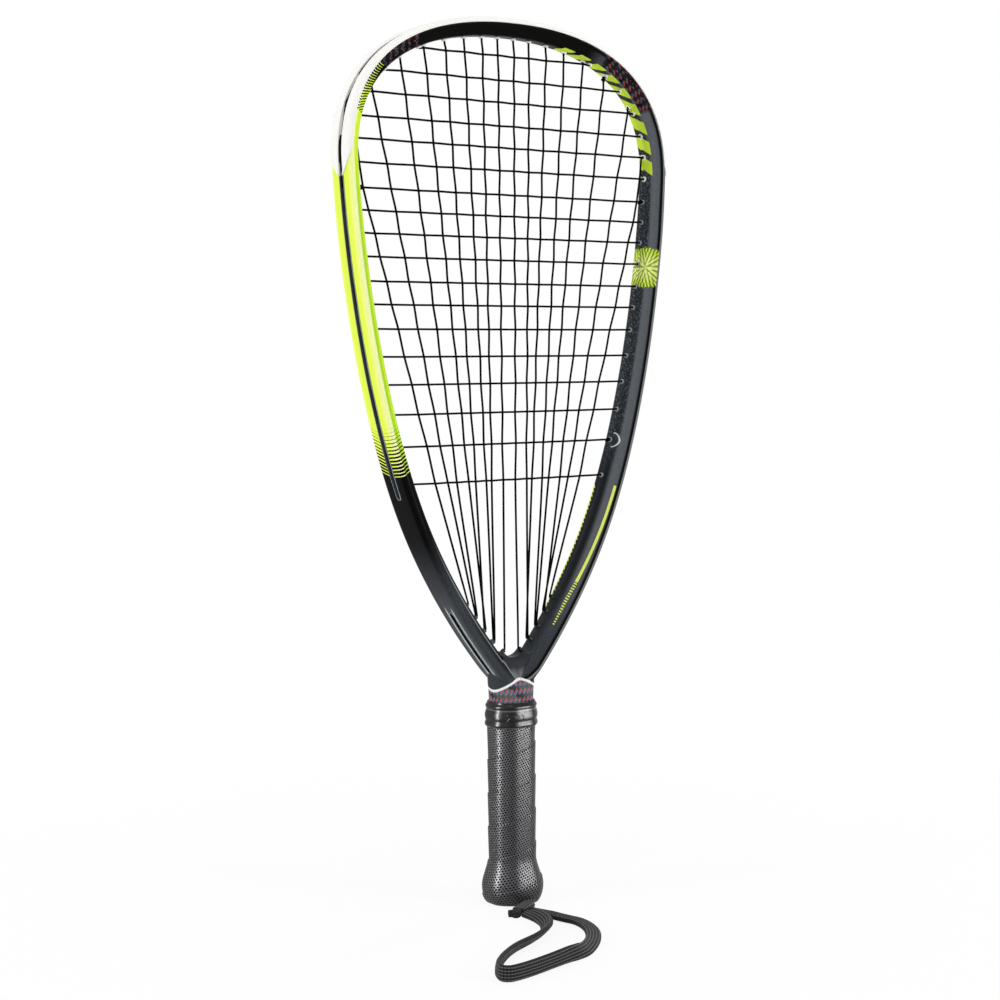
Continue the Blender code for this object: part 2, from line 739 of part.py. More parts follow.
def web_outline(drop):
    """Outline (x, z) of the crotch's web, its rounded V lowered by drop."""
    centre = Vector((0, WEB_HEIGHT + WEB_RADIUS))
    root = WEB_RADIUS + WEB_ROOT
    foot = CROTCH_RADIUS + HOOP_THICKNESS_THROAT / 4
    bottom = CROTCH_HEIGHT + CROTCH_RADIUS
    points = []
    for i in range(9):
        angle = WEB_SPREAD * (i / 4 - 1)
        reach = root if i in (0, 8) else WEB_RADIUS + drop
        points.append(centre + reach * Vector((math.sin(angle), -math.cos(angle))))
    for way in (1, -1):
        points.append(Vector((way * foot * math.sin(WEB_SPREAD), bottom - foot)))
    return points


def web_mesh():
    rings = []
    for depth, drop in ((-WEB_HALF_DEPTH, WEB_EDGE), (-WEB_HALF_DEPTH + WEB_EDGE, 0.0),
                        (WEB_HALF_DEPTH - WEB_EDGE, 0.0), (WEB_HALF_DEPTH, WEB_EDGE)):
        rings.append([(point.x, depth, point.y) for point in web_outline(drop)])
    return skin_mesh("crotch_web", rings)


def make_frame():
    extra = groove_places(GROOVES[0][1], 1)
    extra += groove_places(GROOVES[1][0], -1) + groove_places(GROOVES[1][1], 1)
    plain = [s for s in HALF_PLACES[1:-1] if all(abs(s - other) > 2.0 * MM for other in extra)]
    half_places = sorted(plain + extra)
    hoop_stations = [-HALF_LENGTH] + [-s for s in reversed(half_places)] + [0.0] + half_places
    material = make_material("frame_paint", (0.03, 0.03, 0.035), 0.35)
    frame = add_object("frame", sweep_mesh("frame", hoop_stations, hoop_section, True), material)

    neck = [(SHAFT_BOTTOM, shaft_outline(0.0)),
            (NECK_BOTTOM, shaft_outline(0.0)),
            (NECK_BOTTOM + 0.01 * MM, squircle(NECK_HALF_WIDTH, NECK_HALF_DEPTH, NECK_SQUARENESS))]
    rise = CROTCH_HEIGHT - NECK_BOTTOM
    for part_way, wider, shallower, power in (
            (0.25, 0.1, 0.0, 3.0), (0.43, 0.3, 0.1, 3.1), (0.60, 0.7, 0.5, 3.4),
            (0.78, 1.2, 1.4, 3.8), (0.95, 1.6, 2.7, 4.0)):
        neck.append((NECK_BOTTOM + rise * part_way,
                     squircle(NECK_HALF_WIDTH + wider * MM, NECK_HALF_DEPTH - shallower * MM, power)))
    neck_blank = add_cutter("neck_blank", tower("neck_blank", neck))
    for side, word in ((-1, "left"), (1, "right")):
        name = "throat_groove_" + word
        throat_groove = add_cutter(name, groove_mesh(name, side, *GROOVES[1]))
        add_boolean(neck_blank, throat_groove, 'DIFFERENCE')
    add_boolean(frame, neck_blank, 'UNION')

    add_boolean(frame, add_cutter("crotch_web", web_mesh()), 'UNION')

    hollow = [(SHAFT_BOTTOM - 1.0 * MM, shaft_outline(SHAFT_WALL)),
              (SHAFT_HOLLOW_TOP - 6.0 * MM, shaft_outline(SHAFT_WALL)),
              (SHAFT_HOLLOW_TOP, shaft_outline(SHAFT_WALL + 4.0 * MM))]
    add_boolean(frame, add_cutter("shaft_hollow", tower("shaft_hollow", hollow)), 'DIFFERENCE')

    past = 0.4 * MM
    lows = [mouth_out(s, stand) - past for (s, _, _), stand in zip(ALL_HOLES, ALL_STANDS)]
    highs = [thickness(s) / 2 + 1.0 * MM for s, _, _ in ALL_HOLES]
    holes = plugs_mesh("string_holes", ALL_HOLES, BARREL_HOLE_ACROSS, lows, highs)
    add_boolean(frame, add_cutter("string_holes", holes), 'DIFFERENCE')
    shade(frame)


# Head guard and grommet strips

def floor_out(s):
    """Outward place of the string channel's floor."""
    return thickness(s) / 2 - GROOVE_DEPTH + CLEARANCE + STRIP_FLOOR


def finish_strip(strip, name, holes, stands):
    """Give a strip its barrels and their bores."""
    mouths = [mouth_out(s, stand) for (s, _, _), stand in zip(holes, stands)]
    floors = [floor_out(s) for s, _, _ in holes]
    barrels = plugs_mesh(name + "_barrels", holes, BARREL_ACROSS, mouths,
                         [floor - STRIP_FLOOR / 2 for floor in floors])
    add_boolean(strip, add_cutter(name + "_barrels", barrels), 'UNION')
    past = 0.4 * MM
    bores = plugs_mesh(name + "_bores", holes, BORE_ACROSS, [out - past for out in mouths],
                       [floor + past for floor in floors], BORE_SIDES)
    add_boolean(strip, add_cutter(name + "_bores", bores), 'DIFFERENCE')
    shade(strip)


def guard_tail_trim(side):
    """Rings of two prisms that cut the guard's tail to a rounded point."""
    outline = ((0.0, 15.0), (0.0, 11.9), (0.30, 10.6), (0.55, 8.6), (0.78, 5.8), (0.93, 3.4),
               (1.0, STRIP_WIDTH / 2 / MM + 0.02), (1.15, STRIP_WIDTH / 2 / MM + 0.02),
               (1.15, 15.0))
    prisms = []
    for face in (-1, 1):
        rings = []
        for out in (-8.0 * MM, 3.0 * MM):
            ring = []
            for part_way, depth in outline:
                s = GUARD_END - GUARD_TAPER * (1 - part_way)
                base = thickness(s) / 2
                ring.append(at(side * s, base + out, face * depth * MM))
            rings.append(ring)
        prisms.append(rings)
    return prisms


def make_head_guard():
    material = make_material("guard_white", (0.82, 0.82, 0.80), 0.4)
    places = places_between(-GUARD_END, GUARD_END)
    guard = add_object("head_guard", sweep_mesh("head_guard", places, guard_section), material)
    tails = bmesh.new()
    for side in (-1, 1):
        for rings in guard_tail_trim(side):
            skin(tails, rings)
    add_boolean(guard, add_cutter("guard_tails", finish_mesh("guard_tails", tails)), 'DIFFERENCE')
    finish_strip(guard, "head_guard", GUARD_HOLES, [BARREL_STAND_HEAD] * len(GUARD_HOLES))


def make_strip(name, side, low, high, holes, stands, rounded_low, color):
    material = make_material(name + "_plastic", color, 0.45)
    rings = strip_rings(side * low, side * high, rounded_low)
    strip = add_object(name, skin_mesh(name, rings), material)
    finish_strip(strip, name, holes, stands)


def make_strips():
    for side, word in ((-1, "left"), (1, "right")):
        make_strip("side_grommet_strip_" + word, side, GUARD_END + CLEARANCE, SIDE_STRIP_END,
                   SIDE_HOLES[side], [BARREL_STAND_HEAD] * len(SIDE_HOLES[side]), False,
                   (0.10, 0.12, 0.13))
        make_strip("throat_grommet_strip_" + word, side, THROAT_STRIP_START, THROAT_STRIP_END,
                   THROAT_HOLES[side], THROAT_STANDS, True, (0.10, 0.12, 0.13))


# Strings: two continuous lengths, each threaded through its own holes

def run_out(s):
    """Outward place of a string that lies in its channel."""
    return floor_out(s) + CLEARANCE + STRING_DIAMETER / 2


def mouth_point(s, stand, lane):
    return at(s, mouth_out(s, stand) - MOUTH_MARGIN, lane)


def turn_points(s, way, lane):
    """Points of the bend from a bore into the channel, bore first."""
    return [at(s, run_out(s) - STRING_BEND, lane),
            at(s + way * STRING_BEND, run_out(s), lane)]


def outside_run(start, finish, lane):
    """Points from one bore to another along the outside of the hoop."""
    way = 1 if finish > start else -1
    points = turn_points(start, way, lane)
    low, high = start + way * STRING_BEND, finish - way * STRING_BEND
    middle = places_between(low, high)[1:-1]
    points += [at(s, run_out(s), lane) for s in middle]
    return points + turn_points(finish, -way, lane)[::-1]


def hoop_distance(x, z):
    """Distance from a point of the bed to the hoop's inner face at one level."""
    height = min(max(z, CROTCH_HEIGHT), HEAD_TOP - 1.0 * MM)
    s = find_station(lambda s: mouth(s).y - height, 0.0, HALF_LENGTH * 0.9)
    return mouth(s).x - abs(x)


def crossing_x(main, cross):
    """Place across the bed where a main meets a cross, or None outside the hoop."""
    height = CROSS_HEIGHTS[cross - 1]
    x = main_x(main, height)
    if main in (1, MAIN_COUNT) and SHARED_CROSS < cross <= SHARED_CROSS + 1:
        below = CROSS_HEIGHTS[cross]
        end = mouth(abs(MAIN_TOPS[main - 1]))
        t = (height - below) / (end.y - below)
        x = main_x(main, below) + (math.copysign(end.x, x) - main_x(main, below)) * t
    if main in (1, MAIN_COUNT) and cross <= SHARED_CROSS:
        return None
    top = mouth(MAIN_TOPS[main - 1]).y
    return x if height < top - 0.8 * MM and hoop_distance(x, height) > 0 else None


def woven_depth(main, cross, x):
    """Depth of a main where it meets a cross; the cross takes the other side."""
    height = CROSS_HEIGHTS[cross - 1]
    to_top = (mouth(MAIN_TOPS[main - 1]) - Vector((x, height))).length
    if min(hoop_distance(x, height), to_top) < EDGE_MARGIN:
        return WEAVE_OFFSET
    return WEAVE_OFFSET if (main + cross) % 2 else -WEAVE_OFFSET


CROSSINGS = {}
for main_number in range(1, MAIN_COUNT + 1):
    for cross_number in range(1, CROSS_COUNT + 1):
        place = crossing_x(main_number, cross_number)
        if place is not None:
            CROSSINGS[main_number, cross_number] = place


def main_bed_points(number):
    """Points of one main over the bed, from the top down."""
    points = []
    for cross in range(1, CROSS_COUNT + 1):
        x = CROSSINGS.get((number, cross))
        if x is not None:
            depth = woven_depth(number, cross, x)
            points.append(Vector((x, depth, CROSS_HEIGHTS[cross - 1])))
    return points


def cross_bed_points(number):
    """Points of one cross over the bed, from the left."""
    points = []
    for main in range(1, MAIN_COUNT + 1):
        x = CROSSINGS.get((main, number))
        if x is not None:
            depth = -woven_depth(main, number, x)
            points.append(Vector((x, depth, CROSS_HEIGHTS[number - 1])))
    return points


def tie_off(start, finish, lane):
    """A string end: out of one bore, along the channel and in by another."""
    end = at(finish, mouth_out(finish, BARREL_STAND_HEAD) - 0.4 * MM, lane)
    return outside_run(start, finish, lane) + [end]


def main_string_points():
    tie_s = CROSS_STATIONS[MAIN_TIE_CROSS - 1]
    points = list(reversed(tie_off(MAIN_TOPS[0], -tie_s, MAIN_LANE)))
    for number in range(1, MAIN_COUNT + 1):
        top, bottom = MAIN_TOPS[number - 1], MAIN_BOTTOMS[number - 1]
        lane = throat_lane(number)
        run = [mouth_point(top, BARREL_STAND_HEAD, MAIN_LANE)] + main_bed_points(number)
        run.append(mouth_point(bottom, main_bottom_stand(number), lane))
        if number % 2:
            points += run
            points += outside_run(bottom, MAIN_BOTTOMS[number], lane)
        else:
            points += reversed(run)
            if number < MAIN_COUNT:
                points += outside_run(top, MAIN_TOPS[number], MAIN_LANE)
    return points + tie_off(MAIN_TOPS[-1], tie_s, MAIN_LANE)


def cross_string_points():
    points = list(reversed(tie_off(CROSS_STATIONS[0], MAIN_TOPS[TOP_TIE_MAIN - 1], CROSS_LANE)))
    for number in range(1, CROSS_COUNT + 1):
        s = CROSS_STATIONS[number - 1]
        run = [mouth_point(-s, BARREL_STAND_HEAD, CROSS_LANE)] + cross_bed_points(number)
        run.append(mouth_point(s, BARREL_STAND_HEAD, CROSS_LANE))
        if number % 2:
            points += reversed(run)
            points += outside_run(-s, -CROSS_STATIONS[number], CROSS_LANE)
        else:
            points += run
            if number < CROSS_COUNT:
                points += outside_run(s, CROSS_STATIONS[number], CROSS_LANE)
    last = CROSS_STATIONS[-1]
    knot_s = CROSS_STATIONS[BOTTOM_TIE_CROSS - 1]
    return points + tie_off_shifted(last, knot_s)


def tie_off_shifted(start, finish):
    """The last cross leaves its bore in one lane and ties off in the other."""
    points = tie_off(start, finish, MAIN_LANE)
    for i, point in enumerate(points):
        if i < 2:
            points[i] = Vector((point.x, CROSS_LANE, point.z))
    return points


def string_mesh(name, points):
    """A four-sided string whose sides face along and across Y."""
    half = STRING_DIAMETER * 0.44
    rings = []
    for i, point in enumerate(points):
        into = (point - points[i - 1]).normalized() if i else None
        out = (points[i + 1] - point).normalized() if i + 1 < len(points) else into
        into = into or out
        along = (into + out).normalized()
        depth_way = (Vector((0, 1, 0)) - along * along.y).normalized()
        side_way = along.cross(depth_way)
        miter = min(1.0 / max(along.dot(into), 0.5), 1.4)
        ring = []
        for a, b in ((-1, -1), (1, -1), (1, 1), (-1, 1)):
            ring.append(point + side_way * (a * half * miter) + depth_way * (b * half))
        rings.append(ring)
    return skin_mesh(name, rings)


def make_strings():
    black = make_material("string_black", (0.012, 0.012, 0.013), 0.35)
    add_object("main_string", string_mesh("main_string", main_string_points()), black)
    black_two = make_material("cross_string_black", (0.014, 0.014, 0.015), 0.35)
    add_object("cross_string", string_mesh("cross_string", cross_string_points()), black_two)


def least_gap(first, second, reach):
    """Least distance between the surfaces of two strings, or of one to itself."""
    best = 1.0
    same = first is second
    for i, (a, b) in enumerate(zip(first, first[1:])):
        for j, (c, d) in enumerate(zip(second, second[1:])):
            if same and j < i + reach:
                continue
            if abs(a.z - c.z) > 40 * MM or abs(a.x - c.x) > 40 * MM:
                continue
            best = min(best, segment_distance(a, b, c, d))
    return best - STRING_DIAMETER


def segment_distance(a, b, c, d):
    """Least distance between the segments ab and cd."""
    u, v, w = b - a, d - c, a - c
    uu, uv, vv, uw, vw = u.dot(u), u.dot(v), v.dot(v), u.dot(w), v.dot(w)
    det = uu * vv - uv * uv
    s = min(max((uv * vw - vv * uw) / det, 0.0), 1.0) if det > 1e-18 else 0.0
    t = min(max((uv * s + vw) / vv, 0.0), 1.0)
    s = min(max((uv * t - uw) / uu, 0.0), 1.0)
    return (a + u * s - c - v * t).length


def make_tie_knot(name, anchor, toward):
    """A knot: a bead round the anchor string, close to its barrel."""
    material = make_material(name + "_black", (0.015, 0.015, 0.016), 0.4)
    way = (toward - anchor).normalized()
    side = way.cross(Vector((0, 1, 0))).normalized()
    up = side.cross(way)
    start = anchor + way * KNOT_START
    bore = STRING_DIAMETER / 2 + 2 * CLEARANCE
    profile = [(0.0, bore), (0.0, KNOT_DIAMETER * 0.36), (0.5, KNOT_DIAMETER / 2),
               (1.0, KNOT_DIAMETER * 0.36), (1.0, bore)]
    sides = 6
    rings = []
    for i in range(sides):
        angle = 2 * math.pi * (i + 0.5) / sides
        spoke = side * math.cos(angle) + up * math.sin(angle)
        rings.append([start + way * (t * KNOT_LENGTH) + spoke * radius for t, radius in profile])
    knot = add_object(name, skin_mesh(name, rings, True), material)
    shade(knot, 60.0)


def make_tie_knots():
    for side, main, word in ((-1, 1, "left"), (1, MAIN_COUNT, "right")):
        s = side * CROSS_STATIONS[MAIN_TIE_CROSS - 1]
        x = CROSSINGS[main, MAIN_TIE_CROSS]
        depth = -woven_depth(main, MAIN_TIE_CROSS, x)
        make_tie_knot("main_tie_knot_" + word, mouth_point(s, BARREL_STAND_HEAD, CROSS_LANE),
                      Vector((x, depth, CROSS_HEIGHTS[MAIN_TIE_CROSS - 1])))
    first = main_bed_points(TOP_TIE_MAIN)[0]
    make_tie_knot("cross_tie_knot_top",
                  mouth_point(MAIN_TOPS[TOP_TIE_MAIN - 1], BARREL_STAND_HEAD, MAIN_LANE), first)
    last = cross_bed_points(BOTTOM_TIE_CROSS)[-1]
    make_tie_knot("cross_tie_knot_bottom",
                  mouth_point(CROSS_STATIONS[BOTTOM_TIE_CROSS - 1], BARREL_STAND_HEAD, CROSS_LANE),
                  last)


# Handle

def staple_outline(grow):
    """U outline (x, y) of a staple on the +X side, grown by a clearance."""
    crown = PALLET_HALF_WIDTH + flare(STAPLE_HEIGHT) - STAPLE_SINK
    half = STAPLE_SPAN / 2
    wire = STAPLE_WIRE
    tip = crown - STAPLE_LEG
    return [(crown + grow, -half - grow), (crown + grow, half + grow),
            (tip - grow, half + grow), (tip - grow, half - wire - grow),
            (crown - wire - grow, half - wire - grow), (crown - wire - grow, -half + wire + grow),
            (tip - grow, -half + wire + grow), (tip - grow, -half - grow)]


def staple_rings(side, grow, reach):
    rings = []
    for z in (-STAPLE_WIRE / 2 - grow, STAPLE_WIRE / 2 + grow):
        ring = []
        for i, (x, y) in enumerate(staple_outline(grow)):
            outer = reach if i < 2 else 0.0
            ring.append((side * (x + outer), y, STAPLE_HEIGHT + z))
        rings.append(ring)
    return rings


def make_handle_pallets():
    material_color = (0.16, 0.15, 0.13)
    inner = [(PALLET_BOTTOM - 1.0 * MM, shaft_outline(-CLEARANCE)),
             (PALLET_TOP + 1.0 * MM, shaft_outline(-CLEARANCE))]
    bore = add_cutter("shaft_bore", tower("shaft_bore", inner))
    split = CLEARANCE / 2
    size = 30.0 * MM
    slots = bmesh.new()
    for side in (-1, 1):
        skin(slots, staple_rings(side, CLEARANCE, 2.0 * MM))
    slot_cutter = add_cutter("pallet_slots", finish_mesh("pallet_slots", slots))
    for word, face in (("front", -1), ("rear", 1)):
        name = "handle_pallet_" + word
        levels = [(PALLET_BOTTOM, octagon(0.0)),
                  (CAP_TOP + CLEARANCE, octagon(0.0)),
                  (CAP_TOP + CLEARANCE + 0.01 * MM, octagon(flare(CAP_TOP + CLEARANCE)))]
        for z in (24.0 * MM, 26.5 * MM, FLARE_TOP):
            levels.append((z, octagon(flare(z))))
        levels.append((PALLET_TOP, octagon(0.0)))
        pallet = add_object(name, tower(name, levels), make_material(name + "_foam",
                                                                     material_color, 0.8))
        low, high = ((-size, -size, 0.0), (size, -split, 0.2)) if face < 0 else \
            ((-size, split, 0.0), (size, size, 0.2))
        half = add_cutter(name + "_half", box_mesh(name + "_half", low, high))
        add_boolean(pallet, half, 'INTERSECT')
        add_boolean(pallet, bore, 'DIFFERENCE')
        add_boolean(pallet, slot_cutter, 'DIFFERENCE')
        shade(pallet, 30.0)


def wrap_offset(z):
    """Outward place of the wrap's inner face from the pallets' own size."""
    return flare(z) + CLEARANCE


def make_grip_wrap():
    """A tape wound in a helix: every turn's upper edge stands proud."""
    material = make_material("grip_rubber", (0.09, 0.09, 0.10), 0.7)
    profile = ((0.0, -0.5), (0.5, -0.05), (0.97, 0.5))
    rows_per_turn = len(profile)
    reach_low, reach_high = WRAP_BOTTOM - WRAP_PITCH, WRAP_TOP + WRAP_PITCH
    base = WRAP_PHASE
    while base > reach_low - WRAP_PITCH:
        base -= WRAP_PITCH
    turns = math.ceil((reach_high - base) / WRAP_PITCH) + 1
    grid = bmesh.new()
    rows = turns * rows_per_turn + 1
    columns = []
    for angle in ANGLES:
        column = []
        for i in range(rows):
            turn, row = divmod(i, rows_per_turn)
            part_way, lift = profile[row]
            z = base + WRAP_PITCH * (turn + part_way + (angle - ANGLES[0]) / (2 * math.pi))
            level = min(max(z, WRAP_BOTTOM), WRAP_TOP)
            offset = wrap_offset(level) + WRAP_THICKNESS + lift * WRAP_STEP
            radius = octagon(offset)(angle)
            column.append(Vector((radius * math.cos(angle), radius * math.sin(angle), z)))
        columns.append(column)
    sides = len(columns)
    verts = [[grid.verts.new(point) for point in column] for column in columns]
    last = [verts[0][i + rows_per_turn] if i + rows_per_turn < rows else None
            for i in range(rows)]
    verts.append(last)
    top_row = rows - 1 - rows_per_turn
    for j in range(sides):
        for i in range(top_row):
            grid.faces.new((verts[j][i], verts[j + 1][i], verts[j + 1][i + 1], verts[j][i + 1]))
    below = grid.verts.new((0, 0, base - 10 * MM))
    above = grid.verts.new((0, 0, columns[0][-1].z + 10 * MM))
    for j in range(sides):
        grid.faces.new((below, verts[j + 1][0], verts[j][0]))
        grid.faces.new((above, verts[j][top_row], verts[j + 1][top_row]))
    for i in range(rows_per_turn):
        grid.faces.new((below, verts[0][i], verts[0][i + 1]))
        grid.faces.new((above, verts[0][top_row + i + 1], verts[0][top_row + i]))
    wrap = add_object("grip_wrap", finish_mesh("grip_wrap", grid), material)

    wide = 40.0 * MM
    slab = box_mesh("wrap_length", (-wide, -wide, WRAP_BOTTOM), (wide, wide, WRAP_TOP))
    add_boolean(wrap, add_cutter("wrap_length", slab), 'INTERSECT')
    levels = [WRAP_BOTTOM - 0.5 * MM, 2.0 * MM, 4.5 * MM, 7.5 * MM, 10.5 * MM, 14.0 * MM,
              18.0 * MM, 22.0 * MM, 26.0 * MM, FLARE_TOP, WRAP_TOP + 1.0 * MM]
    core = tower("wrap_core", [(z, octagon(wrap_offset(z))) for z in levels])
    add_boolean(wrap, add_cutter("wrap_core", core), 'DIFFERENCE')
    pressed = octagon(TAPE_BORE - CLEARANCE)
    around = octagon(10.0 * MM)
    low, high = TAPE_BOTTOM - CLEARANCE, WRAP_TOP + 1.0 * MM
    seat = [polar_ring(low, pressed), polar_ring(low, around), polar_ring(high, around),
            polar_ring(high, pressed)]
    tape_seat = add_cutter("tape_seat", skin_mesh("tape_seat", rings_to_tube(seat), True))
    add_boolean(wrap, tape_seat, 'DIFFERENCE')
    add_boolean(wrap, bpy.data.objects["cord_notch"], 'DIFFERENCE')
    shade(wrap, 30.0)


def make_finishing_tape():
    material = make_material("tape_black", (0.02, 0.02, 0.02), 0.5)
    inner, outer = octagon(TAPE_BORE), octagon(TAPE_BORE + TAPE_THICKNESS)
    rings = [polar_ring(TAPE_BOTTOM, inner), polar_ring(TAPE_BOTTOM, outer),
             polar_ring(TAPE_TOP, outer), polar_ring(TAPE_TOP, inner)]
    tape = add_object("finishing_tape", skin_mesh("finishing_tape", rings_to_tube(rings), True),
                      material)
    shade(tape, 30.0)


def collar_outline(offset, roundness):
    """Blend of the handle's octagon and the neck's rounder outline."""
    eight = octagon(offset, 16)
    round_one = squircle(NECK_HALF_WIDTH + 1.0 * MM, NECK_HALF_DEPTH + 1.0 * MM, NECK_SQUARENESS)

    def radius(angle):
        return eight(angle) * (1 - roundness) + round_one(angle) * roundness
    return radius


def make_collar():
    material = make_material("collar_rubber", (0.02, 0.02, 0.022), 0.25)
    bore = TAPE_BORE + TAPE_THICKNESS + CLEARANCE
    outer = ((0.0, 2.15), (0.12, 3.2), (0.215, 3.45), (0.32, 2.95), (0.42, 3.35), (0.58, 3.35),
             (0.77, 2.45))
    span = COLLAR_TOP - COLLAR_BOTTOM
    rings = [polar_ring(COLLAR_BOTTOM, octagon(bore))]
    for part_way, offset in outer:
        level = max(offset * MM, bore + 0.25 * MM)
        rings.append(polar_ring(COLLAR_BOTTOM + span * part_way, octagon(level, 16)))
    neck_fit = squircle(NECK_HALF_WIDTH + CLEARANCE + 0.2 * MM, NECK_HALF_DEPTH + 0.9 * MM,
                        NECK_SQUARENESS)
    for part_way, offset, roundness in ((0.80, 2.9, 0.1), (0.855, 3.25, 0.15), (0.91, 2.9, 0.3),
                                        (0.955, 2.2, 0.6), (1.0, 1.4, 1.0)):
        rings.append(polar_ring(COLLAR_BOTTOM + span * part_way,
                                collar_outline(offset * MM, roundness)))
    rings.append(polar_ring(COLLAR_TOP, neck_fit))
    rings.append(polar_ring(COLLAR_STEP + 0.6 * MM, neck_fit))
    rings.append(polar_ring(COLLAR_STEP, octagon(bore)))
    collar = add_object("collar", skin_mesh("collar", rings_to_tube(rings), True), material)
    shade(collar, 50.0)


def make_butt_cap():
    material = make_material("cap_plastic", (0.03, 0.03, 0.03), 0.5)
    levels = [0.0, 2.0 * MM, 4.5 * MM, 7.5 * MM, 10.5 * MM, 14.0 * MM, 18.0 * MM, CAP_TOP]
    cap = add_object("butt_cap", tower("butt_cap", [(z, octagon(flare(z))) for z in levels]),
                     material)
    socket = [(CAP_WEB_TOP, octagon(CLEARANCE)), (CAP_TOP + 1.0 * MM, octagon(CLEARANCE))]
    add_boolean(cap, add_cutter("cap_socket", tower("cap_socket", socket)), 'DIFFERENCE')
    pocket = box_mesh("cord_pocket", (-POCKET_HALF_WIDTH, -POCKET_HALF_DEPTH, -1.0 * MM),
                      (POCKET_HALF_WIDTH, POCKET_HALF_DEPTH, CAP_WEB_BOTTOM))
    add_boolean(cap, add_cutter("cord_pocket", pocket), 'DIFFERENCE')
    bar_rings_x = []
    for x in (-POCKET_HALF_WIDTH - 1.5 * MM, POCKET_HALF_WIDTH + 1.5 * MM):
        ring = []
        for i in range(8):
            angle = 2 * math.pi * (i + 0.5) / 8
            ring.append((x, BAR_DIAMETER / 2 * math.cos(angle),
                         BAR_HEIGHT + BAR_DIAMETER / 2 * math.sin(angle)))
        bar_rings_x.append(ring)
    add_boolean(cap, add_cutter("cord_bar", skin_mesh("cord_bar", bar_rings_x)), 'UNION')
    notch = box_mesh("cord_notch", (-NOTCH_WIDTH / 2, -30.0 * MM, -1.0 * MM),
                     (NOTCH_WIDTH / 2, -POCKET_HALF_DEPTH + 0.5 * MM, NOTCH_HEIGHT))
    add_boolean(cap, add_cutter("cord_notch", notch), 'DIFFERENCE')
    slots = bmesh.new()
    for side in (-1, 1):
        skin(slots, staple_rings(side, CLEARANCE, 2.0 * MM))
    add_boolean(cap, add_cutter("cap_slots", finish_mesh("cap_slots", slots)), 'DIFFERENCE')
    shade(cap, 30.0)


def make_staples():
    for side, word in ((-1, "left"), (1, "right")):
        name = "butt_cap_staple_" + word
        steel = make_material(name + "_steel", (0.55, 0.55, 0.56), 0.3, 1.0)
        add_object(name, skin_mesh(name, staple_rings(side, 0.0, 0.0)), steel)


# Wrist cord

def smooth_route(points, spacing):
    """Points every spacing along a smooth curve through the route's points."""
    ends = [points[0] * 2 - points[1]] + points + [points[-1] * 2 - points[-2]]
    dense = []
    for a, b, c, d in zip(ends, ends[1:], ends[2:], ends[3:]):
        for i in range(16):
            t = i / 16
            dense.append(0.5 * (2 * b + (c - a) * t + (2 * a - 5 * b + 4 * c - d) * t * t
                                + (3 * b - a - 3 * c + d) * t**3))
    dense.append(points[-1])
    total = sum((q - p).length for p, q in zip(dense, dense[1:]))
    count = round(total / spacing)
    picked, walked, target = [dense[0]], 0.0, total / count
    for p, q in zip(dense, dense[1:]):
        length = (q - p).length
        while walked + length >= target and len(picked) < count:
            picked.append(p.lerp(q, (target - walked) / length))
            target += total / count
        walked += length
    return picked + [dense[-1]]


def make_lanyard():
    material = make_material("cord_black", (0.02, 0.02, 0.02), 0.8)
    height = CORD_WIDTH / 2 + CORD_LIFT
    route = [Vector((x * MM, y * MM, height)) for x, y in CORD_ROUTE]
    points = smooth_route(route, CORD_POINT_SPACING)
    curve = bpy.data.curves.new("lanyard", 'CURVE')
    curve.dimensions = '3D'
    curve.twist_mode = 'Z_UP'
    curve.bevel_depth = CORD_THICKNESS / 2
    curve.extrude = (CORD_WIDTH - CORD_THICKNESS) / 2
    curve.bevel_resolution = 2
    curve.use_fill_caps = True
    spline = curve.splines.new('POLY')
    spline.points.add(len(points) - 1)
    for spot, point in zip(spline.points, points):
        spot.co = (*point, 1.0)
    curve.materials.append(material)
    bpy.context.scene.collection.objects.link(bpy.data.objects.new("lanyard", curve))


def make_lanyard_knot():
    material = make_material("knot_black", (0.02, 0.02, 0.02), 0.8)
    mesh_data = bmesh.new()
    bmesh.ops.create_uvsphere(mesh_data, u_segments=12, v_segments=6, radius=1.0)
    centre = Vector(CORD_KNOT_CENTRE) * MM
    for vert in mesh_data.verts:
        x, y, z = vert.co
        lobe = 1.0 + 0.06 * math.cos(3 * math.atan2(y, x))
        vert.co = centre + Vector((x * CORD_KNOT_RADII[0] * lobe, y * CORD_KNOT_RADII[1] * lobe,
                                   z * CORD_KNOT_RADII[2])) * MM
    knot = add_object("lanyard_knot", finish_mesh("lanyard_knot", mesh_data), material)
    shade(knot, 60.0)


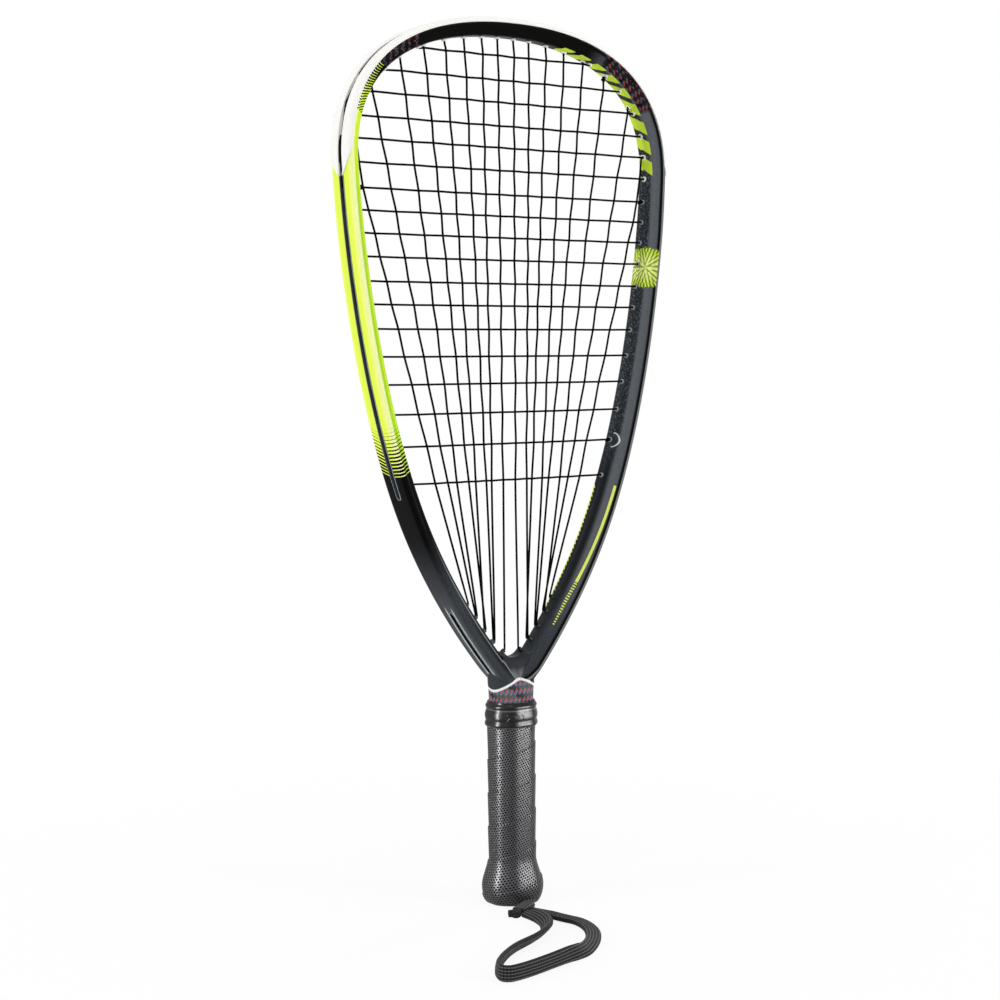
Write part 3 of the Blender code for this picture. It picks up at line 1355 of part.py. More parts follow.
def make_lanyard_tail():
    """The doubled strap between the knot and the bar inside the butt cap."""
    material = make_material("tail_black", (0.02, 0.02, 0.02), 0.8)
    low, high = TAIL_LAYER_LOW, TAIL_LAYER_HIGH
    loop = BAR_DIAMETER / 2 + CLEARANCE * 1.5 + TAIL_THICKNESS / 2
    bend = Vector((-7.0, -23.8))
    knot_centre = Vector(CORD_KNOT_CENTRE[:2])
    end = knot_centre + (bend - knot_centre).normalized() * (CORD_KNOT_RADII[0] + CLEARANCE / MM)
    places = [((*end, low / MM), -60.0), ((*bend, low / MM), -48.0),
              ((-2.2, -20.4, low / MM), -20.0), ((0.0, -16.5, low / MM), 0.0),
              ((0.0, -6.0, low / MM), 0.0)]
    for degrees in (-62, -30, 0, 30, 60, 90, 120, 150):
        angle = math.radians(degrees)
        places.append(((0.0, loop * math.cos(angle) / MM,
                        (BAR_HEIGHT + loop * math.sin(angle)) / MM), 0.0))
    places += [((0.0, -6.8, 6.3), 0.0), ((0.0, -10.0, high / MM), 0.0),
               ((0.0, -16.5, high / MM), 0.0), ((-2.2, -20.4, high / MM), -20.0),
               ((*bend, high / MM), -48.0), ((*end, high / MM), -60.0)]
    points = [Vector(place) * MM for place, _ in places]
    rings = []
    for i, (_, turn) in enumerate(places):
        before, after = points[max(i - 1, 0)], points[min(i + 1, len(points) - 1)]
        along = (after - before).normalized()
        across = Vector((math.cos(math.radians(turn)), math.sin(math.radians(turn)), 0))
        through = along.cross(across).normalized()
        half_width, half_thick = across * TAIL_WIDTH / 2, through * TAIL_THICKNESS / 2
        rings.append([points[i] + half_width + half_thick, points[i] - half_width + half_thick,
                      points[i] - half_width - half_thick, points[i] + half_width - half_thick])
    add_object("lanyard_tail", skin_mesh("lanyard_tail", rings), material)


make_frame()
make_head_guard()
make_strips()
make_strings()
make_tie_knots()
make_butt_cap()
make_staples()
make_handle_pallets()
make_grip_wrap()
make_finishing_tape()
make_collar()
make_lanyard()
make_lanyard_knot()
make_lanyard_tail()

MAIN_POINTS, CROSS_POINTS = main_string_points(), cross_string_points()
print("least gap of the main string to itself, mm:",
      round(least_gap(MAIN_POINTS, MAIN_POINTS, 3) / MM, 2))
print("least gap of the cross string to itself, mm:",
      round(least_gap(CROSS_POINTS, CROSS_POINTS, 3) / MM, 2))
print("least gap between the two strings, mm:",
      round(least_gap(MAIN_POINTS, CROSS_POINTS, 0) / MM, 2))
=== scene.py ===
"""Looks of the strung racquetball racket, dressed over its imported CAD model.

Sizes are in millimetres here; meshes are made in metres, in the CAD model's frame.
"""

import json
import math

import bpy
import bmesh
import numpy as np
from mathutils import Matrix, Vector

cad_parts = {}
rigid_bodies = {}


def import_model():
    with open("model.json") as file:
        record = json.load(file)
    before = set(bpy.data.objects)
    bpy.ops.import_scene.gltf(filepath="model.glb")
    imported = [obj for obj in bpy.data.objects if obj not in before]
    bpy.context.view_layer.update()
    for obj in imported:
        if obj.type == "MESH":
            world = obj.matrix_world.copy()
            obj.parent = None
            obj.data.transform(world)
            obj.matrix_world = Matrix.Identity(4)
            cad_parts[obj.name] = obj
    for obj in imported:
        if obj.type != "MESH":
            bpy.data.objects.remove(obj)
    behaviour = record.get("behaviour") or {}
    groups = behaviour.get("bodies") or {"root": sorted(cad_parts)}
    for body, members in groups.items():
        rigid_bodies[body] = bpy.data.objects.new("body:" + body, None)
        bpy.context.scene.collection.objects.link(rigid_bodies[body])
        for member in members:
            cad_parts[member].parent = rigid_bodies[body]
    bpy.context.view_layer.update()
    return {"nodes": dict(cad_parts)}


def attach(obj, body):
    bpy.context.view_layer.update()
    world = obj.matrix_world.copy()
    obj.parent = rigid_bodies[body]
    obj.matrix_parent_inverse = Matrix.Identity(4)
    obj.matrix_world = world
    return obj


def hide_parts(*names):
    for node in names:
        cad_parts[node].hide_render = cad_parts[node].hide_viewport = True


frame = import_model()
MM = 0.001


# Camera, at the photograph's viewing angle

AZIMUTH, ELEVATION, ROLL = (math.radians(a) for a in (-35.5, 4.107, -0.467))
DISTANCE, TARGET = 1.2274, Vector((-0.0074, 0, 0.2589))
SENSOR_WIDTH, FOCAL_PIXELS, IMAGE_PIXELS = 36, 1941.45, 1000


def add_object(name, data):
    made = bpy.data.objects.new(name, data)
    bpy.context.scene.collection.objects.link(made)
    return made


def make_camera():
    level = math.cos(ELEVATION)
    back = Vector((math.sin(AZIMUTH) * level, -math.cos(AZIMUTH) * level, math.sin(ELEVATION)))
    right = Vector((math.cos(AZIMUTH), math.sin(AZIMUTH), 0))
    up = back.cross(right)
    right, up = (right * math.cos(ROLL) + up * math.sin(ROLL),
                 up * math.cos(ROLL) - right * math.sin(ROLL))
    data = bpy.data.cameras.new("camera")
    data.sensor_width = SENSOR_WIDTH
    data.lens = SENSOR_WIDTH * FOCAL_PIXELS / IMAGE_PIXELS
    data.clip_end = 60
    camera = add_object("camera", data)
    camera.rotation_mode = "QUATERNION"
    columns = [[right[i], up[i], back[i]] for i in range(3)]
    camera.rotation_quaternion = Matrix(columns).to_quaternion()
    camera.location = TARGET + back * DISTANCE
    bpy.context.scene.camera = camera


make_camera()


# Shader nodes

class Value:
    """Output of a shader node; operators on it add Math nodes to its tree."""

    def __init__(self, socket):
        self.socket = socket

    __add__ = __radd__ = lambda a, b: maths("ADD", a, b)
    __mul__ = __rmul__ = lambda a, b: maths("MULTIPLY", a, b)
    __sub__ = lambda a, b: maths("SUBTRACT", a, b)
    __rsub__ = lambda a, b: maths("SUBTRACT", b, a)
    __truediv__ = lambda a, b: maths("DIVIDE", a, b)
    __mod__ = lambda a, b: maths("MODULO", a, b)
    __pow__ = lambda a, b: maths("POWER", a, b)
    __lt__ = lambda a, b: maths("LESS_THAN", a, b)
    __gt__ = lambda a, b: maths("GREATER_THAN", a, b)
    __abs__ = lambda a: maths("ABSOLUTE", a)


def feed(socket, value):
    """Give an input another node's output, or a plain value."""
    if isinstance(value, Value):
        socket.id_data.links.new(value.socket, socket)
    elif value is not None:
        socket.default_value = value


def add_node(tree, kind, *inputs, output=0, **settings):
    made = tree.nodes.new("ShaderNode" + kind)
    for key, value in settings.items():
        setattr(made, key, value)
    for socket, value in zip(made.inputs, inputs):
        feed(socket, value)
    return Value(made.outputs[output])


def tree_of(*values):
    """The node tree that the values belong to; some may be plain numbers."""
    return next(value.socket.id_data for value in values if isinstance(value, Value))


def maths(operation, *values):
    return add_node(tree_of(*values), "Math", *values, operation=operation)


def smaller(a, b):
    return maths("MINIMUM", a, b)


def larger(a, b):
    return maths("MAXIMUM", a, b)


def root(value):
    return maths("SQRT", value)


def wave(value, period):
    """Share of the way through each period, 0 to 1."""
    return maths("FRACT", value / period)


def ramp(value, low, high, start=0.0, end=1.0):
    """start below low, end above high, smooth between."""
    return add_node(tree_of(value), "MapRange", value, low, high, start, end,
                    interpolation_type="SMOOTHSTEP")


def band(value, low, high, soft=0.25):
    """1 between low and high."""
    return ramp(value, low - soft, low + soft) * ramp(value, high - soft, high + soft, 1.0, 0.0)


def mix(mask, first, second):
    """The first colour where the mask is 0, the second where it is 1."""
    made = tree_of(mask, first, second).nodes.new("ShaderNodeMix")
    made.data_type = "RGBA"
    for index, value in ((0, mask), (6, first), (7, second)):
        feed(made.inputs[index], value)
    return Value(made.outputs[2])


def noise(vector, scale, detail=3.0, roughness=0.5):
    made = tree_of(vector).nodes.new("ShaderNodeTexNoise")
    for key, value in (("Vector", vector), ("Scale", scale), ("Detail", detail),
                       ("Roughness", roughness)):
        feed(made.inputs[key], value)
    return Value(made.outputs["Fac"])


def split(vector):
    made = tree_of(vector).nodes.new("ShaderNodeSeparateXYZ")
    feed(made.inputs[0], vector)
    return [Value(socket) for socket in made.outputs]


def srgb(red, green, blue):
    """Linear colour of an 8-bit screen colour."""
    linear = [((c / 255 + 0.055) / 1.055) ** 2.4 for c in (red, green, blue)]
    return (*linear, 1.0)


def fade(value, low, high, first, second):
    """The first colour below low, the second above high."""
    return mix(ramp(value, low, high), first, second)


def speckled(grain, first, second):
    return fade(grain, 0.3, 0.7, first, second)


class Paint:
    """A Principled material."""

    def __init__(self, name, roughness, **sockets):
        self.material = bpy.data.materials.new(name)
        self.material.use_nodes = True
        self.tree = self.material.node_tree
        self.set("Roughness", roughness)
        for socket, value in sockets.items():
            self.set(socket.replace("_", " "), value)

    def set(self, socket, value):
        feed(self.tree.nodes["Principled BSDF"].inputs[socket], value)

    def scaled(self, vector, third):
        """Metres to millimetres; the third coordinate has a scale of its own."""
        return add_node(self.tree, "VectorMath", vector, (1 / MM, 1 / MM, third),
                        operation="MULTIPLY")

    def place(self):
        """The map that each mesh carries, in millimetres, and its two coordinates."""
        place = self.scaled(add_node(self.tree, "UVMap", uv_map="Place"), 0.0)
        return place, split(place)[:2]

    def point(self):
        """Position on the object at rest, in millimetres."""
        return self.scaled(add_node(self.tree, "TexCoord", output="Object"), 1 / MM)

    def bump(self, height, strength, distance):
        made = self.tree.nodes.new("ShaderNodeBump")
        for key, value in (("Strength", strength), ("Distance", distance * MM),
                           ("Height", height)):
            feed(made.inputs[key], value)
        self.set("Normal", Value(made.outputs["Normal"]))

    def worn(self, vector, scale, low, high):
        """Roughness that varies gently over the surface."""
        self.set("Roughness", ramp(noise(vector, scale), 0.3, 0.7, low, high))


# Meshes from rings of points

def portion(value, low, high):
    """Share of the way from low to high, 0 to 1."""
    return min(max((value - low) / (high - low), 0.0), 1.0)


def walked(points):
    """Length along a line at each of its points."""
    steps = np.linalg.norm(np.diff(np.array(points), axis=0), axis=1)
    return np.concatenate([[0], np.cumsum(steps)])


def unit(vectors):
    return vectors / np.linalg.norm(vectors, axis=1)[:, None]


def build(name, verts, faces, maps, material, smooth):
    """A piece from vertices in millimetres; maps gives each face corner's place."""
    mesh = bpy.data.meshes.new(name)
    mesh.from_pydata([tuple(v) for v in np.asarray(verts) * MM], [], faces)
    layer = mesh.uv_layers.new(name="Place")
    layer.data.foreach_set("uv", (np.asarray(maps) * MM).ravel())
    mesh.validate()
    mesh.shade_smooth()
    mesh.set_sharp_from_angle(angle=math.radians(smooth))
    piece = add_object(name, mesh)
    mesh.materials.append(material)
    return piece


class Body:
    """Gathers rings of points into one mesh with a map."""

    def __init__(self):
        self.verts, self.faces, self.maps = [], [], []

    def skin(self, rings, places, closed=False, caps=True):
        """rings (n, m, 3) joined to a tube; places (n, m + 1, 2) its map."""
        rings, places = np.asarray(rings, float), np.asarray(places, float)
        n, m = rings.shape[:2]
        base = len(self.verts)
        self.verts.extend(rings.reshape(-1, 3))
        for i in range(n if closed else n - 1):
            here, ahead = base + i * m, base + (i + 1) % n * m
            for j in range(m):
                k = (j + 1) % m
                self.faces.append((here + j, here + k, ahead + k, ahead + j))
                self.maps += [places[i, j], places[i, j + 1],
                              places[i + 1, j + 1], places[i + 1, j]]
        if caps and not closed:
            for i, order in ((0, range(m - 1, -1, -1)), (n - 1, range(m))):
                self.faces.append([base + i * m + j for j in order])
                self.maps += [places[i, j] for j in order]

    def make(self, name, material, smooth):
        piece = build(name, self.verts, self.faces, self.maps, material, smooth)
        mesh_data = bmesh.new()
        mesh_data.from_mesh(piece.data)
        bmesh.ops.recalc_face_normals(mesh_data, faces=mesh_data.faces)
        mesh_data.to_mesh(piece.data)
        mesh_data.free()
        return piece


def grid_places(us, vs):
    """Map of a tube: u along it, v round it."""
    u, v = np.meshgrid(us, vs, indexing="ij")
    return np.stack([u, v], -1)


def smooth_line(points, spacing):
    """Points every spacing along a smooth curve through points (n, any)."""
    points = np.asarray(points, float)
    ends = np.vstack([points[0] * 2 - points[1], points, points[-1] * 2 - points[-2]])
    dense = []
    for a, b, c, d in zip(ends, ends[1:], ends[2:], ends[3:]):
        for t in np.arange(12) / 12:
            dense.append(0.5 * (2 * b + (c - a) * t + (2 * a - 5 * b + 4 * c - d) * t * t
                                + (3 * b - a - 3 * c + d) * t**3))
    dense.append(points[-1])
    dense = np.array(dense)
    ways = walked(dense[:, :3])
    wanted = np.linspace(0, ways[-1], max(2, round(ways[-1] / spacing)) + 1)
    return np.stack([np.interp(wanted, ways, column) for column in dense.T], 1)


def tube(body, points, outline, up=None, across=None):
    """Sweep an outline (m, 2) along points: its x goes sideways, and its y the way of up.

    up is one direction or one at each point; across is the map's place round the outline.
    """
    points, outline = np.asarray(points, float), np.asarray(outline, float)
    along = unit(np.gradient(points, axis=0))
    if across is None:
        across = walked(np.vstack([outline, outline[:1]]))
    rings, way = [], np.array((0, 1.0, 0))
    for i, point in enumerate(points):
        if up is not None:
            way = np.array(up if np.ndim(up) == 1 else up[i], float)
        way = way - along[i] * way.dot(along[i])
        way /= np.linalg.norm(way)
        side = np.cross(along[i], way)
        rings.append(point + outline[:, :1] * side + outline[:, 1:] * way)
    body.skin(rings, grid_places(walked(points), across))


def circle(radius, sides):
    angles = 2 * math.pi * (np.arange(sides) + 0.5) / sides
    return np.stack([radius * np.cos(angles), radius * np.sin(angles)], 1)


# Wrist cord: a flat ribbed braid that leaves the knot, lies down and comes back

# Place on the floor, and how far the braid leans over there, in degrees
CORD_ROUTE = (
    (-14.8, -36.0, 75), (-14.8, -43.9, 65), (-16.2, -52.6, 55), (-19.7, -62.0, 50),
    (-25.8, -70.8, 48), (-34.7, -78.3, 46), (-44.5, -84.0, 46), (-53.8, -88.3, 44),
    (-62.8, -92.3, 40), (-72.2, -97.9, 34), (-82.0, -105.3, 25), (-91.1, -113.6, 14),
    (-97.5, -120.9, 6), (-100.9, -128.8, 2), (-98.2, -133.0, 0), (-91.6, -133.4, 0),
    (-82.6, -132.2, 0), (-72.8, -130.1, 0), (-61.9, -127.4, 0), (-50.8, -124.6, 8),
    (-42.1, -122.7, 28), (-33.0, -118.5, 55), (-22.0, -109.6, 75), (-12.7, -100.0, 85),
    (-4.9, -88.7, 88), (-0.6, -77.5, 88), (0.6, -67.7, 88), (-1.2, -60.0, 88),
    (-3.0, -52.2, 88), (-4.5, -44.4, 84), (-7.6, -37.2, 72), (-11.5, -33.4, 60))
CORD_WIDTH, CORD_THICKNESS, CORD_LIFT, CORD_RISE, RIB = 9.5, 3.7, 2.0, 3.0, 1.8
KNOT_CENTRE, KNOT_RADII = np.array((-21.0, -32.0, 2.7)), np.array((6.2, 5.0, 2.5))
# Strap between the knot and the bar in the cap: its two levels, the bar's height, its bend
TAIL_LOW, TAIL_HIGH, BAR_HEIGHT, BAR_TURN = 1.5, 3.9, 7.6, 3.55
TAIL_BEND = np.array((-7.0, -23.8))
KNOT_BRAID, TAIL_BRAID = (4.6, 2.5), (7.8, 2.1)


def braid_outline(width, thickness):
    """Flat oval with rounded ribs along both faces, and its place across the braid."""
    points = []
    for angle in 2 * math.pi * np.arange(96) / 96:
        cos, sin = math.cos(angle), math.sin(angle)
        across = math.copysign(abs(cos) ** 0.8, cos) * width / 2
        rise = math.copysign(abs(sin) ** 0.55, sin) * thickness / 2
        points.append((rise * (0.91 + 0.09 * math.cos(2 * math.pi * across / RIB)), across))
    outline = np.array(points)
    return outline, np.append(outline[:, 1], outline[0, 1])


def cord_material(name, light):
    """Braid with painted highlights along the crests of its ribs; the map's v is the place across
    it.
    """
    paint = Paint(name, 0.8, Specular_IOR_Level=0.1, Sheen_Weight=0.1, Sheen_Roughness=0.5)
    vector, (along, across) = paint.place()
    in_rib = abs(wave(across + RIB / 2, RIB) - 0.5)
    crest = ramp(in_rib, 0.07, 0.26, 1.0, 0.0)
    stitch = ramp(abs(wave(along + in_rib * RIB, 1.5) - 0.5), 0.08, 0.3)
    fluff = noise(vector, 1.6, 4.0)
    dark = mix(stitch, srgb(13, 13, 13), srgb(34, 35, 34))
    # Painted highlight: lighter colour on the rib crests, as bright as light sets.
    bright = mix(stitch, srgb(light // 2, light // 2, light // 2), srgb(light, light + 2, light))
    paint.set("Base Color", mix(crest * ramp(fluff, 0.25, 0.6, 0.45, 1.0), dark, bright))
    paint.bump(crest * 0.7 + stitch * 0.5 + fluff * 0.4, 0.6, 0.3)
    return paint.material


def make_loop(material):
    """The free loop of the cord and its centre line."""
    route = smooth_line(CORD_ROUTE, 1.1)
    lean = np.radians(route[:, 2])
    points = np.column_stack([route[:, :2], CORD_RISE * np.abs(np.cos(lean)) + CORD_LIFT])
    along = np.gradient(points, axis=0)
    along[:, 2] = 0
    along = unit(along)
    side = np.stack([-along[:, 1], along[:, 0], np.zeros(len(along))], 1)
    ups = np.cos(lean)[:, None] * np.array((0, 0, 1.0)) + np.sin(lean)[:, None] * side
    body = Body()
    outline, across = braid_outline(CORD_WIDTH, CORD_THICKNESS)
    tube(body, points, outline, ups, across)
    return body.make("lanyard_braid", material, 70.0), points


def make_cord_knot(material):
    """A trefoil of the braid, flattened into the knot's egg."""
    steps = 110
    angles = np.linspace(0, 2 * math.pi, steps, endpoint=False)
    trefoil = np.stack([(np.sin(angles) + 2 * np.sin(2 * angles)) / 3,
                        (np.cos(angles) - 2 * np.cos(2 * angles)) / 3, -np.sin(3 * angles)], 1)
    line = KNOT_CENTRE + trefoil * (KNOT_RADII - np.array((2.3, 2.3, 2.2)))
    along = unit(np.roll(line, -1, 0) - np.roll(line, 1, 0))
    out = line - KNOT_CENTRE
    out = unit(out - along * (out * along).sum(1)[:, None])
    shape, across = braid_outline(*KNOT_BRAID)
    side = np.cross(along, out)
    rings = line[:, None] + shape[None, :, :1] * out[:, None] + shape[None, :, 1:] * side[:, None]
    rings[:, :, 2] = np.maximum(rings[:, :, 2], 0.3)
    body = Body()
    body.skin(rings, grid_places(np.arange(steps + 1) * 0.6, across), closed=True)
    return body.make("lanyard_knot_braid", material, 70.0)


def make_tail(material):
    """The strap from the knot, round the bar in the cap and back."""
    off = TAIL_BEND - KNOT_CENTRE[:2]
    end = KNOT_CENTRE[:2] + off / np.linalg.norm(off) * 4.5
    stops = [(*end, TAIL_LOW, -60), (*TAIL_BEND, TAIL_LOW, -48), (-2.2, -20.4, TAIL_LOW, -20),
             (0, -16.5, TAIL_LOW, 0), (0, -6, TAIL_LOW, 0)]
    for angle in map(math.radians, (-62, -30, 0, 30, 60, 90, 120, 150)):
        stops.append((0, BAR_TURN * math.cos(angle), BAR_HEIGHT + BAR_TURN * math.sin(angle), 0))
    stops += [(0, -6.8, 6.3, 0), (0, -10, 4.5, 0), (0, -16.5, TAIL_HIGH, 0),
              (-2.2, -20.4, TAIL_HIGH, -20), (*TAIL_BEND, TAIL_HIGH, -48), (*end, TAIL_HIGH, -60)]
    line = smooth_line(stops, 0.8)
    turn = np.radians(line[:, 3])
    ups = np.stack([np.cos(turn), np.sin(turn), np.zeros(len(turn))], 1)
    body = Body()
    outline, across = braid_outline(*TAIL_BRAID)
    tube(body, line[:, :3], outline, ups, across)
    return body.make("lanyard_tail_braid", material, 70.0)


def make_cord():
    material, shaded = cord_material("cord_braid", 108), cord_material("cord_braid_shaded", 54)
    cord, points = make_loop(material)
    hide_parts("lanyard")
    knot = make_cord_knot(shaded)
    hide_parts("lanyard_knot")
    tail = make_tail(material)
    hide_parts("lanyard_tail")
    for piece in (cord, knot, tail):
        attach(piece, "root")


make_cord()


# Sizes of the CAD model

CLEARANCE = 0.3
RACKET_LENGTH = 558.8
GUARD_CROWN = 1.3
THICKNESS_TOP, THICKNESS_THROAT = 10.0, 11.5
HEAD_HALF_WIDTH, HEAD_WIDEST_DROP = 116.5, 82.4
SHOULDER_HALF_WIDTH, SHOULDER_DROP, SHOULDER_LEAN = 71.9, 302.5, math.radians(22.75)
CROTCH_HEIGHT, CROTCH_RADIUS, THROAT_LEAN = 151.0, 5.0, math.radians(36.0)
TOP_HANDLE, WIDEST_HANDLES, SHOULDER_HANDLES, THROAT_HANDLE = 63.4, (60.7, 7.8), (99.0, 60.8), 3.5
SIDE_STRIP_HEIGHTS, THROAT_STRIP_HEIGHTS = (457.0, 264.0), (193.5, 148.0)
DEPTH_OUTER, DEPTH_INNER = 10.5, 7.3
GROOVE_DEPTH, GROOVE_HALF, STRIP_HALF, CHANNEL_HALF = 2.8, 2.8, 2.5, 2.0
STRIP_FLOOR, STRIP_PROUD = 0.7, 0.1
CHANNEL_LOW = -GROOVE_DEPTH + CLEARANCE + STRIP_FLOOR
BARREL_ACROSS, BORE_ACROSS, STAND_HEAD = 2.9, 1.9, 0.6
CUP_ACROSS, CUP_STAND = 3.6, 1.1
THROAT_STANDS = (5.2, 3.4, 2.5, 2.5, 2.5)
STRING_RADIUS, LANE, WEAVE, BEND = 0.625, 0.8, 0.68, 0.8
MOUTH_MARGIN, EDGE_MARGIN = 0.6, 5.0
MAIN_OFFSETS = (5.5, 15.6, 24.4, 35.3, 45.9, 59.1, 74.9, 91.6)
MAIN_LEANS = (0.004, 0.017, 0.049, 0.075, 0.112, 0.149, 0.215, 0.276)
MAIN_LEVEL = 152.5  # the drop at which the mains have their offsets
CROSS_DROPS = (16.4, 31.4, 45.1, 59.6, 73.1, 87.2, 102.2, 115.5, 129.0, 143.0, 157.6, 171.5,
               186.2, 203.0, 220.0, 238.2, 258.0, 281.0)
THROAT_HOLE_RISES = (5.4, 13.3, 21.5, 30.7, 39.0)
GUARD_CROSSES, SHARED_CROSS, MAIN_TIE_CROSS, TOP_TIE_MAIN, BOTTOM_TIE_CROSS = 6, 5, 7, 14, 17
HEAD_TOP = RACKET_LENGTH - GUARD_CROWN - THICKNESS_TOP / 2


# Centre line of the hoop

def trace_half_hoop():
    """Right half of the centre line: three Bezier curves and the throat's arc."""
    top = Vector((0, HEAD_TOP))
    widest = Vector((HEAD_HALF_WIDTH, HEAD_TOP - HEAD_WIDEST_DROP))
    shoulder = Vector((SHOULDER_HALF_WIDTH, HEAD_TOP - SHOULDER_DROP))
    lean = Vector((math.sin(SHOULDER_LEAN), math.cos(SHOULDER_LEAN)))
    radius = CROTCH_RADIUS + THICKNESS_THROAT / 2
    centre = Vector((0, CROTCH_HEIGHT + CROTCH_RADIUS))
    throat = centre + radius * Vector((math.cos(THROAT_LEAN), -math.sin(THROAT_LEAN)))
    throat_lean = Vector((math.sin(THROAT_LEAN), math.cos(THROAT_LEAN)))
    points, steps = [], 80
    for a, b, c, d in (
            (top, top + Vector((TOP_HANDLE, 0)), widest + Vector((0, WIDEST_HANDLES[0])), widest),
            (widest, widest - Vector((0, WIDEST_HANDLES[1])),
             shoulder + lean * SHOULDER_HANDLES[0], shoulder),
            (shoulder, shoulder - lean * SHOULDER_HANDLES[1],
             throat + throat_lean * THROAT_HANDLE, throat)):
        for i in range(steps):
            t = i / steps
            u = 1 - t
            points.append(a * u**3 + b * 3 * u * u * t + c * 3 * u * t * t + d * t**3)
    for i in range(steps + 1):
        angle = -THROAT_LEAN - (math.pi / 2 - THROAT_LEAN) * i / steps
        points.append(centre + radius * Vector((math.cos(angle), math.sin(angle))))
    return np.array([tuple(point) for point in points])


TRACE = trace_half_hoop()
LENGTHS = walked(TRACE)
HALF_LENGTH = LENGTHS[-1]


def trace_at(distance):
    """Point of the right half at a distance along it."""
    distance = min(max(distance, 0.0), HALF_LENGTH)
    return Vector([np.interp(distance, LENGTHS, column) for column in TRACE.T])


def station(s):
    """Centre point, along direction and outward direction at arc length s."""
    distance, step = abs(s), 0.5
    point = trace_at(distance)
    along = (trace_at(distance + step) - trace_at(distance - step)).normalized()
    if distance < step:
        along = Vector((1, 0))
    if distance > HALF_LENGTH - step:
        along = Vector((-1, 0))
    outward = Vector((-along.y, along.x))
    if s < 0:
        point = Vector((-point.x, point.y))
        along = Vector((along.x, -along.y))
        outward = Vector((-outward.x, outward.y))
    return point, along, outward


def thickness(s):
    """Width of the hoop's section as seen from the front."""
    share = portion(trace_at(abs(s)).y, CROTCH_HEIGHT, HEAD_TOP - HEAD_WIDEST_DROP)
    return THICKNESS_THROAT + (THICKNESS_TOP - THICKNESS_THROAT) * share


def at(s, out, depth):
    """World point, an offset out from the centre line."""
    point, _, outward = station(s)
    flat = point + outward * out
    return Vector((flat.x, depth, flat.y))


def both_sides(s, points, mirrored):
    """World points of a section's front half, then of the mirrored ones at the rear."""
    return ([at(s, out, -depth) for out, depth in points]
            + [at(s, out, depth) for out, depth in mirrored])


def find_station(measure, low, high):
    """Where a measure changes sign."""
    low_sign = measure(low) > 0
    for _ in range(40):
        middle = (low + high) / 2
        if (measure(middle) > 0) == low_sign:
            low = middle
        else:
            high = middle
    return (low + high) / 2


WIDEST_S = find_station(lambda s: station(s)[1].x, 0.0, HALF_LENGTH * 0.5)


def station_at_height(height):
    return find_station(lambda s: trace_at(s).y - height, WIDEST_S, HALF_LENGTH)


GUARD_END, SIDE_STRIP_END = (station_at_height(height) for height in SIDE_STRIP_HEIGHTS)
THROAT_STRIP_START, THROAT_STRIP_END = (station_at_height(height)
                                        for height in THROAT_STRIP_HEIGHTS)
GROOVES = ((-SIDE_STRIP_END, SIDE_STRIP_END + CLEARANCE),
           (THROAT_STRIP_START - CLEARANCE, THROAT_STRIP_END + CLEARANCE))


def spread(low, high, spacing):
    """Even steps of about the spacing, ends included."""
    count = max(1, round(abs(high - low) / spacing))
    return [low + (high - low) * i / count for i in range(count + 1)]


def groove_half(s):
    """Half width of the outer groove, rounded at its ends."""
    for low, high in GROOVES:
        inside = min(abs(s) - low, high - abs(s))
        if inside > 1e-4:
            return math.sqrt(GROOVE_HALF**2 - max(GROOVE_HALF - inside, 0.0)**2)
    return 0.0


# String holes: (arc length, lane, double)

CROSS_HEIGHTS = [HEAD_TOP - drop for drop in CROSS_DROPS]
MAIN_COUNT, CROSS_COUNT = 2 * len(MAIN_OFFSETS), len(CROSS_DROPS)


def mouth_out(s, stand):
    """Offset of a barrel's mouth, which stands off the hoop."""
    return -thickness(s) / 2 - stand


def mouth(s):
    point, _, outward = station(s)
    return point + outward * mouth_out(s, STAND_HEAD)


def main_x(number, height):
    """Sideways place of a main, which fans out upwards."""
    side = 1 if number > len(MAIN_OFFSETS) else -1
    rank = number - len(MAIN_OFFSETS) - 1 if side > 0 else len(MAIN_OFFSETS) - number
    return side * (MAIN_OFFSETS[rank] + MAIN_LEANS[rank] * (height - HEAD_TOP + MAIN_LEVEL))


def main_top_station(number):
    """Arc length of the hole where a main leaves the head."""
    side = 1 if number > len(MAIN_OFFSETS) else -1
    if number in (1, MAIN_COUNT):
        return side * CROSS_STATIONS[SHARED_CROSS - 1]
    twin = number if side > 0 else MAIN_COUNT + 1 - number
    return side * find_station(lambda s: mouth(s).x - main_x(twin, mouth(s).y), 0.0, WIDEST_S)


def mouth_station(height):
    """Arc length at which the barrels' mouths stand at a height."""
    return find_station(lambda s: mouth(s).y - height, 0.0, HALF_LENGTH * 0.9)


CROSS_STATIONS = [mouth_station(height) for height in CROSS_HEIGHTS]
THROAT_STATIONS = [station_at_height(CROTCH_HEIGHT + rise) for rise in THROAT_HOLE_RISES]
THROAT_RANKS = (4, 3, 3, 2, 2, 1, 1, 0)


def left_twin(number):
    return min(number, MAIN_COUNT + 1 - number)


def throat_lane(number):
    """Lane in the throat's channel, by pairs of mains."""
    return LANE if ((left_twin(number) - 1) // 2) % 2 == 0 else -LANE


MAIN_TOPS = [main_top_station(number) for number in range(1, MAIN_COUNT + 1)]
MAIN_RANKS = [THROAT_RANKS[left_twin(number) - 1] for number in range(1, MAIN_COUNT + 1)]
MAIN_BOTTOMS = [math.copysign(THROAT_STATIONS[rank], index - len(MAIN_OFFSETS) + 0.5)
                for index, rank in enumerate(MAIN_RANKS)]


def cross_holes(side, first, last):
    doubles = (SHARED_CROSS, MAIN_TIE_CROSS, BOTTOM_TIE_CROSS if side > 0 else None)
    return [(side * CROSS_STATIONS[number - 1], -LANE, number in doubles)
            for number in range(first, last + 1)]


